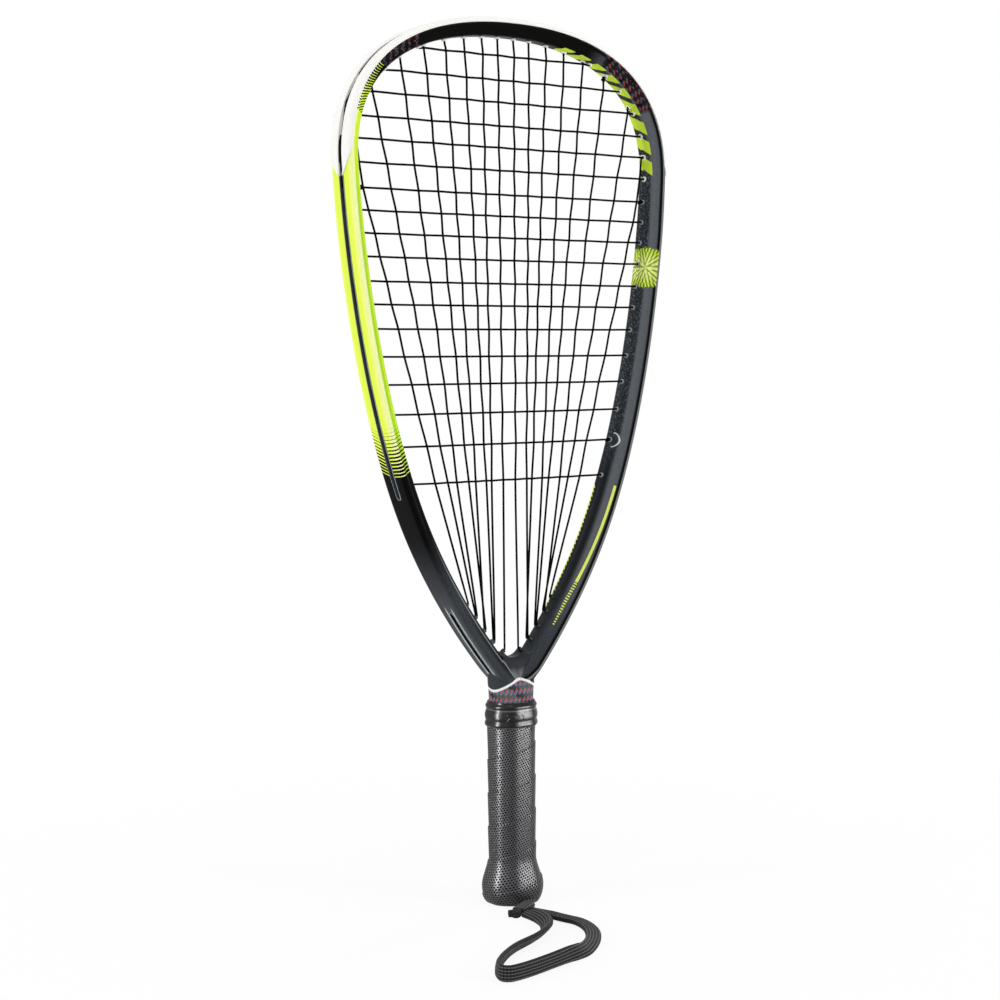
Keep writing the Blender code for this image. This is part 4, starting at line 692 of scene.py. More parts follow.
GUARD_HOLES = [(MAIN_TOPS[number - 1], LANE, number == TOP_TIE_MAIN)
               for number in range(2, MAIN_COUNT)]
GUARD_HOLES += cross_holes(-1, 1, GUARD_CROSSES) + cross_holes(1, 1, GUARD_CROSSES)
SIDE_HOLES = {side: cross_holes(side, GUARD_CROSSES + 1, CROSS_COUNT) for side in (-1, 1)}
THROAT_HOLES = {side: [(side * s, throat_lane(8 if rank == 0 else 1), 0 < rank < 4)
                       for rank, s in enumerate(THROAT_STATIONS)] for side in (-1, 1)}


# Frame: hoop section with rounded corners

def curve(start, corner, end, steps):
    """Points of a rounded corner, without its end."""
    start, corner, end = (np.array(point) for point in (start, corner, end))
    return [tuple(start * (1 - t)**2 + corner * 2 * t * (1 - t) + end * t * t)
            for t in np.arange(steps) / steps]


SWELL = 1.4


def swell(s):
    """The limbs stand a little deeper than the head's top and the throat."""
    return SWELL * portion(abs(s), 110.0, 200.0) * portion(abs(s), 512.0, 502.0)


def flat_outline(s):
    """Front half of the hoop's outline without its groove, from its outer middle."""
    half, more = thickness(s) / 2, swell(s)
    outer, inner = DEPTH_OUTER + more, DEPTH_INNER + 0.1 * more
    high, low, edge = (half - 3.4 + 0.7 * more, outer), (-half + 4.4, inner + 0.8), 5.0
    points = [(half, y) for y in (0.0, 1.0, 2.0, 3.5, 5.2)]
    points += curve((half, 7.0 + 1.45 * more), (half, outer), high, 8)
    points += [high, ((high[0] + low[0]) / 2, (high[1] + low[1]) / 2)]
    points += curve(low, (-half + 1.4, inner - 0.5), (-half + 0.5, edge), 8)
    points += curve((-half + 0.5, edge), (-half, edge - 1.0), (-half, 2.9), 3)
    return points + [(-half, 2.9), (-half, 1.4), (-half, 0.0)]


def skin_point(s, q, lift):
    """World point over the hoop at way q round it from its outer middle, front positive."""
    outline = np.array(flat_outline(s))
    ways = walked(outline)

    def spot(way):
        return np.array([np.interp(way, ways, column) for column in outline.T])
    here = spot(abs(q))
    ahead = spot(abs(q) + 0.15) - spot(max(abs(q) - 0.15, 0.0))
    normal = np.array((ahead[1], -ahead[0])) / np.linalg.norm(ahead)
    out, depth = here + normal * lift
    return at(s, out, -math.copysign(depth, q))


def hoop_section(s):
    """Outline points (out, depth) and way round, front side first."""
    half = thickness(s) / 2
    groove = groove_half(s)
    floor = half - GROOVE_DEPTH if groove else half
    rim = groove if groove else GROOVE_HALF / 2
    soft = 0.22 if groove else 0.0
    points = [(floor, 0.0), (floor, rim * 0.6), (floor, rim - soft / 2), (floor + soft, rim),
              (half - soft, rim), (half - soft * 0.3, rim + soft * 0.3), (half, rim + soft)]
    ways = [0.0, rim * 0.6, rim, rim, rim, rim + 0.1, rim + soft]
    outline = flat_outline(s)
    for point, way in zip(outline, walked(outline)):
        if point[1] > 3.4 or point[0] < 0:
            points.append(point)
            ways.append(way)
    return points, ways


RING_STEP, THROAT_RING_STEP, THROAT_RINGS, RING_GAP = 2.6, 1.2, 425.0, 0.7


def hoop_mesh(body):
    """The hoop with its groove, with more rings where the groove's ends round off."""
    marks = []
    for low, high in GROOVES:
        for t in (0.0, 0.001, 0.02, 0.08, 0.2, 0.35, 0.55, 0.8, 1.05):
            marks.append(high - GROOVE_HALF * t)
            if low > 0:
                marks.append(low + GROOVE_HALF * t)
    plain, s = [], 0.0
    while s < HALF_LENGTH - 1.0:
        plain.append(s)
        s += THROAT_RING_STEP if s > THROAT_RINGS else RING_STEP
    plain = [s for s in plain if all(abs(s - mark) > RING_GAP for mark in marks)]
    right = sorted(plain + marks)
    places = [-HALF_LENGTH] + [-s for s in reversed(right) if s > 0] + right
    rings, maps = [], []
    girth = 2 * walked(flat_outline(0.0))[-1]
    for s in places + [HALF_LENGTH]:
        points, ways = hoop_section(s)
        rings.append(both_sides(s, points, points[-2:0:-1]))
        around = ways + [girth - way for way in ways[-2:0:-1]] + [girth]
        maps.append([(s, way) for way in around])
    body.skin(rings[:-1], maps, closed=True)
    return girth


def squircle(half_width, half_depth, power, angle):
    """Radius of a squared oval."""
    across, deep = abs(math.cos(angle)) / half_width, abs(math.sin(angle)) / half_depth
    return (across ** power + deep ** power) ** (-1 / power)


def polar_ring(z, radius, sides):
    angles = 2 * math.pi * np.arange(sides) / sides
    return [(radius(a) * math.cos(a), radius(a) * math.sin(a), z) for a in angles]


# Height, half width, half depth and squareness of the neck's rings
NECK_LEVELS = ((128.3, 13.8, 11.0, 3.0), (134.0, 13.9, 11.0, 3.0), (138.1, 14.1, 10.9, 3.1),
               (141.9, 14.5, 10.5, 3.4), (146.0, 15.0, 9.0, 3.8), (149.9, 15.4, 7.2, 4.0),
               (153.0, 15.4, 5.6, 4.0), (155.0, 15.0, 4.6, 4.0))
SHAFT, SHAFT_LEVELS = (11.0, 8.5, 3.0), (20.0, 128.2)
WEB_TOP, WEB_RADIUS, WEB_HALF_SPAN = 158.4, 11.0, math.radians(54.0)
WEB_EDGE, WEB_HALF_DEPTH, WEB_SINK = 3.2, 7.2, 3.4
# The map's u past the hoop's own: the web's, and the start of the neck's
WEB_MAP, NECK_MAP, NECK_GIRTH, NECK_DASHES = 700.0, 900.0, 88.0, 26


def neck_mesh(body):
    sides = 72
    rings = [polar_ring(z, lambda a: squircle(*SHAFT, a), sides) for z in SHAFT_LEVELS]
    rings += [polar_ring(z, lambda a: squircle(w, d, p, a), sides)
              for z, w, d, p in smooth_line(NECK_LEVELS, 0.8)]
    maps = []
    for ring in rings:
        ways = walked(ring + ring[:1])
        maps.append([(NECK_MAP + way * NECK_GIRTH / ways[-1], ring[0][2]) for way in ways])
    body.skin(rings, maps)


def web_mesh(body):
    """The wall between the limbs above the neck, hollowed by an arc at its top."""
    rings, steps = [], 40
    rounding = [WEB_EDGE * (1 - math.cos(a)) - WEB_HALF_DEPTH
                for a in np.radians((0, 25, 45, 65, 80))]
    flat = WEB_HALF_DEPTH - WEB_EDGE
    depths = rounding + list(np.linspace(-flat, flat, 9)) + [-y for y in reversed(rounding)]
    foot = CROTCH_RADIUS + THICKNESS_THROAT / 4
    shares = [2 * i / steps - 1 for i in range(steps + 1)]
    for depth in depths:
        past = max(abs(depth) - WEB_HALF_DEPTH + WEB_EDGE, 0.0)
        drop = WEB_EDGE - math.sqrt(max(WEB_EDGE * WEB_EDGE - past * past, 0.0))
        ring = []
        for share in shares:
            reach = WEB_RADIUS + (WEB_SINK if abs(share) == 1 else drop)
            ring.append((reach * math.sin(WEB_HALF_SPAN * share), depth,
                         WEB_TOP + WEB_RADIUS - reach * math.cos(WEB_HALF_SPAN * share)))
        ring += [(share * foot * 0.8, depth, CROTCH_HEIGHT + CROTCH_RADIUS - foot)
                 for share in reversed(shares)]
        rings.append(ring)
    count = len(rings[0])
    body.skin(rings, grid_places([WEB_MAP] * len(rings), range(count + 1)), caps=False)
    for start in (0, (len(rings) - 1) * count):
        end = start + count
        for i in range(steps):
            body.faces.append((start + i, start + i + 1, end - 2 - i, end - 1 - i))
            body.maps += [(WEB_MAP, 0.0)] * 4


def frame_cloth(around, along, pitch, light):
    """Dark twill with rows of slanted red and blue threads."""
    level, dash = wave(along, 5.5), wave(around - along * 0.75, pitch)
    red = band(level, 0.3, 0.84, 0.03) * band(dash, 0.1, 0.34, 0.06)
    blue = band(level, 0.16, 0.66, 0.03) * band(dash, 0.46, 0.76, 0.06)
    twill = wave(around + along * 1.4, 1.1) < 0.36
    patch = ramp(wave(around + along, 22.0), 0.1, 0.5, 0.35, 1.0)
    return mix(twill * patch, srgb(8, 8, 10), light), red, blue


class FramePlace:
    """Where a point of the frame is, as shader values in millimetres.

    u runs along the hoop from the head's top, and is negative on the left limb; v goes
    round the hoop from its outer middle by the front. way and round_way are the same
    for left and right, and for front and rear.
    """

    def __init__(self, paint, girth):
        self.vector, (self.u, self.v) = paint.place()
        self.point = paint.point()
        self.x, self.y, self.z = split(self.point)
        self.way, self.left, self.right = abs(self.u), self.u < 0.0, self.u > 0.0
        self.round_way, self.rear = smaller(self.v, girth - self.v), self.v > girth / 2
        self.inside = (self.round_way > 17.0) * self.right
        self.grain = noise(self.point, 0.9, 5.0, 0.65)
        self.deep = abs(self.y)
        self.off_dish = (6.4 - abs(self.x)) * 0.809 + (self.z - 152.0) * 0.588
        self.dish = (ramp(self.off_dish, -0.6, 0.9) * ramp(self.deep, 3.0, 5.0)
                     * band(self.z, 140.0, 160.0, 1.0))


def limb_color(spot):
    """Grey right limb with darker inner and outer sides and a painted highlight line on its outer
    front corner; black left limb that turns grey at the throat, where its outer corner carries a
    painted highlight and its inner side is darker.
    """
    way, round_way, grain = spot.way, spot.round_way, spot.grain
    mottle = ramp(noise(spot.point, 0.75, 4.0, 0.7), 0.5, 0.64)
    grey = speckled(grain, srgb(52, 55, 59), srgb(66, 69, 74))
    black = speckled(grain, srgb(6, 6, 7), srgb(12, 12, 13))
    # Painted highlight: the left limb's outer corner at the throat is lighter.
    corner = fade(round_way, 3.5, 8.5, srgb(92, 96, 98), grey)
    corner = fade(round_way, 13.0, 19.5, corner, srgb(34, 36, 38))
    limb = fade(way, 395, 450, black, fade(way, 430, 480, grey, corner))
    face = speckled(grain, srgb(88, 91, 96), srgb(100, 103, 109))
    inner = mix(mottle, srgb(44, 47, 51), srgb(100, 106, 112))
    side = fade(round_way, 20.6, 22.4, face, inner)
    low = fade(round_way, 20.5, 24.0, face, srgb(38, 41, 44))
    side = fade(way, 335, 365, side, low)
    side = fade(way, 420, 490, side, grey)
    edge = round_way - ramp(way, 110, 200, 0.0, SWELL)
    side = mix(ramp(edge, 13.3, 14.9, 1.0, 0.0), side, black)
    side = mix(ramp(edge, 12.0, 12.6, 1.0, 0.0), side, srgb(30, 31, 33))
    # Painted highlight: a light line along the right limb's outer front corner.
    side = mix(band(edge, 10.7, 12.2, 0.3), side, srgb(122, 124, 126))
    color = mix(spot.left, side, limb)
    color = mix(way > WEB_MAP - 10.0, color, grey)
    return mix(ramp(way, 60, 84, 1.0, 0.0), color, srgb(14, 14, 13))


def add_cloth(spot, color):
    """Woven fibre with red flecks on both shoulders."""
    way, v = spot.way, spot.v
    cloth, red, blue = frame_cloth(v, way, 2.6, srgb(50, 53, 58))
    cloth = mix(spot.left, cloth, mix(0.75, cloth, srgb(6, 6, 7)))
    patchy = ramp(noise(spot.point, 0.22, 2.0), 0.42, 0.5)
    red = red * larger(spot.right, wave(v, 1.7) < 0.5) * patchy
    cloth = mix(red, cloth, srgb(170, 72, 66))
    cloth = mix(blue * patchy, cloth, srgb(70, 88, 104))
    other = spot.right * band(way, 74, 121, 2.0) * band(spot.round_way, 8.5, 20.0, 0.3)
    return mix(larger(spot.left * band(way, 72, 102, 2.0), other), color, cloth)


def add_lime(spot, color):
    """Lime of the left limb, striped at both ends, with a painted highlight band on its front,
    painted shade toward its inner edge and a painted highlight at that edge.
    """
    way, round_way = spot.way, spot.round_way
    lime = fade(spot.grain, 0.2, 0.8, srgb(222, 244, 74), srgb(232, 248, 92))
    # Painted highlight: a pale band round the front outer corner.
    lime = fade(round_way, 7.0, 12.6, lime, srgb(246, 251, 176))
    # Painted shade: deeper lime toward the inner edge.
    shaded_lime = fade(way, 150, 200, srgb(206, 238, 44), srgb(162, 212, 24))
    lime = fade(round_way, 12.8, 15.4, lime, shaded_lime)
    # Painted highlight: lighter lime at the inner edge.
    lime = fade(round_way, 18.6, 20.0, lime, srgb(196, 230, 62))
    lean = smaller(round_way, 13.0) * (0.07 + spot.rear * 0.24)
    lift = (smaller(larger(round_way, 13.0), 20.0) - 13.0) * ramp(way, 180, 260, 0.55, 0.0)
    slanted = way + lean + lift
    share = ramp(slanted, 320, 357, -0.05, 0.72)
    share = share + ramp(way, 104, 137, 0.82, 0.5) * (way < 137.0)
    stripe = wave(slanted, ramp(way, 180, 260, 1.8, 2.15)) < share
    margin = (round_way > ramp(way, 103, 132, 17.0, 22.0)) * (way < 132.0)
    striped = mix(larger(stripe, margin), lime, srgb(8, 9, 7))
    return mix(spot.left * band(slanted, 105.0, 357.6, 0.2), color, striped)


def add_bars(spot, color):
    """Slanted lime bars between the barrels of the right shoulder's inner face."""
    bar = band(wave(spot.way + spot.v * 0.7, 14.0), 0.12, 0.76, 0.02)
    bar = bar * band(spot.way, 40, 166, 0.3) * band(spot.v, 20.4, 32.0, 0.25) * spot.right
    return mix(bar, color, srgb(204, 232, 66))


def add_burst(spot, color):
    """Burst of hatched spokes on the right limb."""
    off_way, off_round = spot.way - 225.0, spot.v - 22.0
    spoke = maths("ARCTAN2", off_way, off_round) / (2 * math.pi)
    reach = root(off_way * off_way + off_round * off_round * 0.5)
    order = maths("FLOOR", reach / 3.4) + 0.5
    stroke = wave(spoke * (order * 10.0), 1.0)
    ragged = reach + noise(spot.vector, 1.2, 2.0) * 6.0
    burst = ramp(ragged, 15.6, 16.2, 1.0, 0.0) * spot.right * (spot.round_way > 13.6)
    bright = fade(reach, 3.0, 13.0, srgb(240, 250, 160), srgb(206, 234, 62))
    dim = fade(reach, 3.0, 13.0, srgb(150, 174, 50), srgb(100, 120, 44))
    return mix(burst, color, mix(band(stroke, 0.1, 0.66, 0.08), dim, bright))


def add_line(spot, color):
    """Lime line with ticks on the right limb's front, saw-tooth on its inner edge."""
    way = spot.way
    share = (way - 370.0) / 80.0
    off_line = abs(spot.round_way - smaller(16.7 + share * share * 2.8, 19.8))
    solid = larger(wave(way, 1.9) < 0.45, way < 440.0)
    wide = ramp(way, 430, 446, 0.9, 1.1) - ramp(way, 452, 472, 0.0, 0.5)
    line = (off_line < wide) * solid * band(way, 371, 472, 0.3) * spot.right
    teeth = spot.y > 4.4 - wave(way, 3.1) * 1.8
    saw = teeth * spot.inside * band(way, 372.5, 462, 0.3)
    return mix(larger(line, saw), color, srgb(234, 246, 112))


def add_hole_ring(spot, color):
    """White half ring round the lowest tie-off hole."""
    ring_way = spot.way - CROSS_STATIONS[BOTTOM_TIE_CROSS - 1]
    ring_round = spot.y + (LANE + 2.4)
    away = root(ring_way * ring_way + ring_round * ring_round * 1.5)
    ring = band(away, 4.3, 5.1, 0.15) * spot.inside * (ring_round < 1.0)
    return mix(ring, color, srgb(222, 224, 224))


def add_throat_light(spot, color):
    """Painted highlights on the groove's rims and along the inner front edges, and painted shade
    with a painted highlight in the dish between the limbs.
    """
    way, round_way, x, z = spot.way, spot.round_way, spot.x, spot.z
    # Painted highlight on the rims of the throat groove.
    rim = band(round_way, 2.6, 4.1, 0.2) * band(way, 449, 514, 3.0)
    color = mix(rim, color, srgb(184, 188, 190))
    # Painted shade in the dish, then a painted highlight near its bottom.
    color = mix(spot.dish, color, srgb(50, 52, 55))
    glow = root((abs(x) - 4.2) ** 2.0 + (z - 146.0) ** 2.0)
    color = mix(ramp(glow, 1.0, 7.5, 0.75, 0.0) * spot.dish, color, srgb(134, 138, 140))
    # Painted highlight lines along the inner front edges, on the front left and rear right only.
    lip = band(round_way, 19.8, 20.7, 0.25) * ramp(way, 395, 440) * (way < 499.0)
    crease = band(spot.off_dish, -0.9, 0.1, 0.25) * band(z, 140.0, 158.0, 0.5)
    edges = larger(lip, crease * (spot.deep > 5.0))
    front_left = x * spot.y > 0.0
    return mix(edges * front_left * 0.75, color, srgb(146, 150, 154))


def add_neck(spot, color):
    """White line round the neck, and a band of woven dashes below it."""
    square_x, square_y = spot.x * spot.x, spot.y * spot.y
    turn = (square_x - square_y) / (square_x + square_y)
    above = spot.z - (141.4 - turn * 3.7)
    pitch = NECK_GIRTH / NECK_DASHES
    cloth, red, blue = frame_cloth(spot.u, spot.z - 129.25, pitch, srgb(146, 150, 156))
    cloth = mix(red, cloth, srgb(206, 84, 72))
    cloth = mix(blue, cloth, srgb(98, 140, 172))
    color = mix(above < 0.0, color, cloth)
    return mix(band(above, -0.8, 0.9, 0.08), color, srgb(240, 240, 238))


def paint_frame(girth):
    paint = Paint("frame_finish", 0.24, Specular_IOR_Level=0.015)
    spot = FramePlace(paint, girth)
    color = limb_color(spot)
    for add in (add_cloth, add_lime, add_bars, add_burst, add_line, add_hole_ring,
                add_throat_light, add_neck):
        color = add(spot, color)
    paint.set("Base Color", color)
    paint.set("Roughness", ramp(spot.grain, 0.3, 0.7, 0.2, 0.28))
    paint.bump(spot.grain * 0.006 - spot.dish * 0.7, 1.0, 1.0)
    return paint.material


def union(target, parts):
    """Merge overlapping closed parts into the target's mesh."""
    for part in parts:
        modifier = target.modifiers.new("Union", "BOOLEAN")
        modifier.object = part
        modifier.operation = "UNION"
        modifier.solver = "EXACT"
    apply_modifiers(target)
    for part in parts:
        bpy.data.objects.remove(part)


def apply_modifiers(target):
    depsgraph = bpy.context.evaluated_depsgraph_get()
    mesh = bpy.data.meshes.new_from_object(target.evaluated_get(depsgraph))
    target.modifiers.clear()
    target.data = mesh


def soften(target, low, high, blend):
    """Take the normals between two heights from a smoothed copy, so the joints look moulded."""
    smooth = add_object("smooth", target.data.copy())
    remesh = smooth.modifiers.new("Remesh", "REMESH")
    remesh.mode = "VOXEL"
    remesh.voxel_size = 0.8 * MM
    relax = smooth.modifiers.new("Relax", "SMOOTH")
    relax.factor, relax.iterations = 0.5, 14
    apply_modifiers(smooth)
    smooth.data.shade_smooth()
    group = target.vertex_groups.new(name="joint")
    for vertex in target.data.vertices:
        x, _, z = vertex.co / MM
        past_limbs = abs(x) - abs(z - CROTCH_HEIGHT) * 0.55
        share = portion(z, high, high - blend) * portion(z, low, low + blend)
        share *= 1 - portion(past_limbs, 18.0, 21.0)
        if share > 0:
            group.add([vertex.index], share, "REPLACE")
    transfer = target.modifiers.new("Transfer", "DATA_TRANSFER")
    transfer.object = smooth
    transfer.use_loop_data = True
    transfer.data_types_loops = {"CUSTOM_NORMAL"}
    transfer.loop_mapping = "POLYINTERP_NEAREST"
    transfer.vertex_group = group.name
    apply_modifiers(target)
    target.vertex_groups.clear()
    bpy.data.objects.remove(smooth)


def make_frame():
    body = Body()
    material = paint_frame(float(hoop_mesh(body)))
    hoop = body.make("frame_painted", material, 60.0)
    parts = []
    for name, maker in (("neck", neck_mesh), ("web", web_mesh)):
        part_body = Body()
        maker(part_body)
        parts.append(part_body.make(name, material, 60.0))
    union(hoop, parts)
    hoop.data.shade_smooth()
    hoop.data.set_sharp_from_angle(angle=math.radians(50))
    soften(hoop, low=141.0, high=176.0, blend=5.0)
    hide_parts("frame")
    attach(hoop, "root")


make_frame()


# Head guard, grommet strips and barrels

def plastic(name, color, lighter, roughness, gloss=0.3, detail=None):
    """Moulded plastic; detail adds to its colour by the place on the map."""
    paint = Paint(name, roughness, Specular_IOR_Level=gloss)
    point = paint.point()
    grain = noise(point, 1.6, 4.0)
    shade = speckled(grain, color, lighter)
    if detail:
        shade = detail(shade, *paint.place()[1])
    paint.set("Base Color", shade)
    paint.worn(point, 0.35, roughness - 0.06, roughness + 0.06)
    paint.bump(grain, 0.06, 0.2)
    return paint.material


def guard_channel_shade(shade, u, v):
    """Painted shadow inside the guard's channel, in two stretches on each side; it also stands in
    for the black string lying there.
    """
    way = abs(u)
    taper = abs(way - 132.0) * 0.09 * (way < 152.0)
    inside = abs(v - 22.5) > 19.7 + taper
    reach = larger(band(way, 84.0, 150.0, 0.8), band(way, 153.5, 167.0, 0.8))
    return mix(inside * reach, shade, srgb(6, 6, 6))


def strip_edge_highlights(tip):
    """Painted highlights on a strip's upper edges and on its barrels' mouths."""
    def detail(shade, u, v):
        edge = larger(band(v, 2.7, 5.1, 0.2), band(v, 7.9, 10.3, 0.2))
        shade = mix(edge * (abs(u) > 100.0), shade, STRIP_HIGHLIGHT)
        return mix(band(u, -8.0, -5.3, 0.1), shade, tip)
    return detail


# Colour of the painted highlights on the strips' upper edges and on the side barrels' mouths.
STRIP_HIGHLIGHT = srgb(150, 158, 160)
GUARD_WHITE = plastic("guard_plastic", srgb(240, 239, 235), srgb(246, 245, 242), 0.4, 0.2,
                      guard_channel_shade)
SLATE = plastic("strip_plastic", srgb(62, 70, 75), srgb(80, 88, 92), 0.42, 0.15,
                strip_edge_highlights(STRIP_HIGHLIGHT))
DARK = plastic("throat_plastic", srgb(16, 17, 18), srgb(26, 28, 30), 0.3, 0.2,
               strip_edge_highlights(srgb(52, 56, 58)))
GUARD_TAPER, GUARD_LIP = 17.0, 0.25


def guard_cover(s):
    """How far round the hoop the guard reaches at arc length s."""
    half = thickness(s) / 2
    turn = min(abs(s) / WIDEST_S, 1.0)
    wrap = 2.7 - 0.5 * math.sin(turn * math.pi / 2)
    outline = np.array(flat_outline(s))
    ways = walked(outline)
    past = outline[:, 1] > 8.0
    full = float(np.interp(wrap - half, -outline[past, 0], ways[past]))
    part_way = 1 - (GUARD_END - abs(s)) / GUARD_TAPER
    if part_way <= 0:
        return full
    return float(np.interp(part_way, (0, 0.3, 0.55, 0.78, 0.93, 1.0),
                           (full, 10.9, 8.7, 5.8, 3.6, 2.6)))


def guard_ring(s):
    """Outline of the guard: front half from the channel's floor to the groove, then rear."""
    cover, half = guard_cover(s), thickness(s) / 2
    floor, edge = half + CHANNEL_LOW, max(cover - 2.3, 0.1)
    rise = GUARD_CROWN if cover > 8 else 1.0
    front = [at(s, out, -depth) for out, depth in (
        (floor, 0.0), (floor, CHANNEL_HALF - 0.2), (floor + 0.2, CHANNEL_HALF),
        (half, CHANNEL_HALF), (half + GUARD_LIP, CHANNEL_HALF + 0.12))]
    for t in (0.04, 0.14, 0.28, 0.42, 0.55, 0.66, 0.76, 0.85, 0.92, 0.97):
        lift = rise + (1.0 - rise) * min(t * 2.2, 1.0) - 0.15 * max(t - 0.7, 0) / 0.3
        lift -= (rise - GUARD_LIP) * max(1 - t * 2.6, 0.0)
        front.append(skin_point(s, 2.2 + edge * t, lift))
    front += [skin_point(s, q, lift) for q, lift in (
        (cover - 0.03, 0.62), (cover, 0.35), (cover - 0.05, 0.06), (2.2 + edge * 0.8, 0.04),
        (2.2 + edge * 0.5, 0.04), (2.2 + edge * 0.2, 0.04))]
    front += [at(s, half - 0.05, -STRIP_HALF), at(s, half - GROOVE_DEPTH + 0.3, -STRIP_HALF)]
    return front + [Vector((point.x, -point.y, point.z)) for point in reversed(front[1:])]


def barrel(body, hole, stand, across=BARREL_ACROSS):
    """A tube through the hoop that ends in a rounded lip at its mouth."""
    s, lane, double = hole
    point, along, outward = station(s)
    tip, base = mouth_out(s, stand), thickness(s) / 2 - GROOVE_DEPTH
    radius, bore = across / 2, BORE_ACROSS / 2
    profile = [(base, radius), (tip + 0.45, radius), (tip + 0.15, radius - 0.05),
               (tip, radius - 0.22), (tip, bore + 0.12), (tip + 0.2, bore), (base + 0.8, bore)]
    sides, rings = 20, []
    for out, reach in profile:
        ring = []
        for shift, depth in circle(reach, sides):
            depth += math.copysign(LANE, depth) if double else lane
            flat = point + outward * out + along * shift
            ring.append((flat.x, depth, flat.y))
        rings.append(ring)
    body.skin(rings, grid_places([out for out, _ in profile], np.arange(sides + 1) * 0.45))


def make_guard():
    body = Body()
    full = GUARD_END - GUARD_TAPER
    tail = [full + GUARD_TAPER * t for t in (0.06, 0.14, 0.22, 0.3, 0.38, 0.46, 0.55, 0.63, 0.71,
                                             0.78, 0.84, 0.89, 0.93, 0.965, 0.99, 1.0)]
    places = [-s for s in reversed(tail)] + spread(-full, full, 2.6) + tail
    rings = [guard_ring(s) for s in places]
    body.skin(rings, grid_places(places, range(len(rings[0]) + 1)))
    for hole in GUARD_HOLES:
        barrel(body, hole, CUP_STAND, CUP_ACROSS)
    guard = body.make("head_guard_moulded", GUARD_WHITE, 50.0)
    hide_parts("head_guard")
    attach(guard, "root")


def strip_body(body, low, high, rounded_low):
    """A U-shaped strip in the groove that closes at its rounded ends."""
    rim = STRIP_HALF - CHANNEL_HALF
    way = 1 if high > low else -1
    rounding = []
    for inside in (0.02, 0.1, 0.22, 0.38, rim + 0.02, rim + 0.06, rim + 0.15, rim + 0.35,
                   rim + 0.7, rim + 1.2):
        half = math.sqrt(STRIP_HALF**2 - (STRIP_HALF - inside)**2)
        opened, off = inside > rim, CHANNEL_HALF - max(inside - rim, 0.0)
        open_half = math.sqrt(max(CHANNEL_HALF**2 - off**2, 0.0))
        rounding.append((inside, half, open_half if opened else half * 0.4, opened))
    start = low + way * STRIP_HALF if rounded_low else low
    places = [(s, STRIP_HALF, CHANNEL_HALF, True)
              for s in spread(start, high - way * STRIP_HALF, 3.0)]
    if rounded_low:
        places = [(low + way * inside, *shape) for inside, *shape in rounding] + places
    places += [(high - way * inside, *shape) for inside, *shape in reversed(rounding)]
    rings = []
    for s, half, open_half, opened in places:
        surface = thickness(s) / 2
        top, bottom = surface + STRIP_PROUD, surface - GROOVE_DEPTH + CLEARANCE
        floor = surface + CHANNEL_LOW if opened else top - 0.03
        front = [(floor, 0.0), (floor, open_half), (top - 0.08, open_half),
                 (top, open_half + 0.06), (top, max(half - 0.12, open_half + 0.07)),
                 (top - 0.12, half), (bottom, half)]
        rings.append(both_sides(s, front, front[:0:-1]))
    body.skin(rings, grid_places([place[0] for place in places], range(len(rings[0]) + 1)))


def make_strips():
    for side, word in ((-1, "left"), (1, "right")):
        body = Body()
        strip_body(body, side * (GUARD_END + CLEARANCE), side * SIDE_STRIP_END, False)
        for hole in SIDE_HOLES[side]:
            barrel(body, hole, CUP_STAND, 3.2)
        strip = body.make("side_strip_" + word, SLATE, 40.0)
        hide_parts("side_grommet_strip_" + word)
        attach(strip, "root")
        body = Body()
        strip_body(body, side * THROAT_STRIP_START, side * THROAT_STRIP_END, True)
        for hole, stand in zip(THROAT_HOLES[side], THROAT_STANDS):
            barrel(body, hole, stand)
        strip = body.make("throat_strip_" + word, DARK, 40.0)
        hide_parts("throat_grommet_strip_" + word)
        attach(strip, "root")


make_guard()
make_strips()


# Strings: two continuous lengths, woven over and under

def run_out(s):
    """Offset of a string's centre in the outer channel."""
    return thickness(s) / 2 + CHANNEL_LOW + CLEARANCE + STRING_RADIUS


def mouth_point(s, stand, lane):
    return at(s, mouth_out(s, stand) - MOUTH_MARGIN, lane)


def turn_points(s, way, lane):
    """Points of the bend from a bore into the channel, bore first."""
    return [at(s + way * BEND * (1 - math.cos(angle)),
               run_out(s) - BEND * (1 - math.sin(angle)), lane)
            for angle in map(math.radians, (0, 22, 45, 68, 90))]


def outside_run(start, finish, lane):
    """The run in the channel between two bores."""
    way = 1 if finish > start else -1
    middle = spread(start + way * BEND, finish - way * BEND, 3.5)[1:-1]
    return (turn_points(start, way, lane) + [at(s, run_out(s), lane) for s in middle]
            + turn_points(finish, -way, lane)[::-1])


def hoop_distance(x, z):
    """How far a point of the string bed is from the limb's mouths, sideways."""
    return mouth(mouth_station(min(max(z, CROTCH_HEIGHT), HEAD_TOP - 1.0))).x - abs(x)


def crossing_x(main, cross):
    """Sideways place of a crossing; None where there is none."""
    height = CROSS_HEIGHTS[cross - 1]
    x = main_x(main, height)
    if main in (1, MAIN_COUNT) and cross <= SHARED_CROSS:
        return None
    if main in (1, MAIN_COUNT) and cross == SHARED_CROSS + 1:
        below = CROSS_HEIGHTS[cross]
        end = mouth(abs(MAIN_TOPS[main - 1]))
        t = (height - below) / (end.y - below)
        x = main_x(main, below) + (math.copysign(end.x, x) - main_x(main, below)) * t
    top = mouth(MAIN_TOPS[main - 1]).y
    return x if height < top - 0.8 and hoop_distance(x, height) > 0 else None


def woven_depth(main, cross, x):
    """Over or under by turns, but not next to the hoop."""
    height = CROSS_HEIGHTS[cross - 1]
    to_top = (mouth(MAIN_TOPS[main - 1]) - Vector((x, height))).length
    if min(hoop_distance(x, height), to_top) < EDGE_MARGIN:
        return WEAVE
    return WEAVE if (main + cross) % 2 else -WEAVE


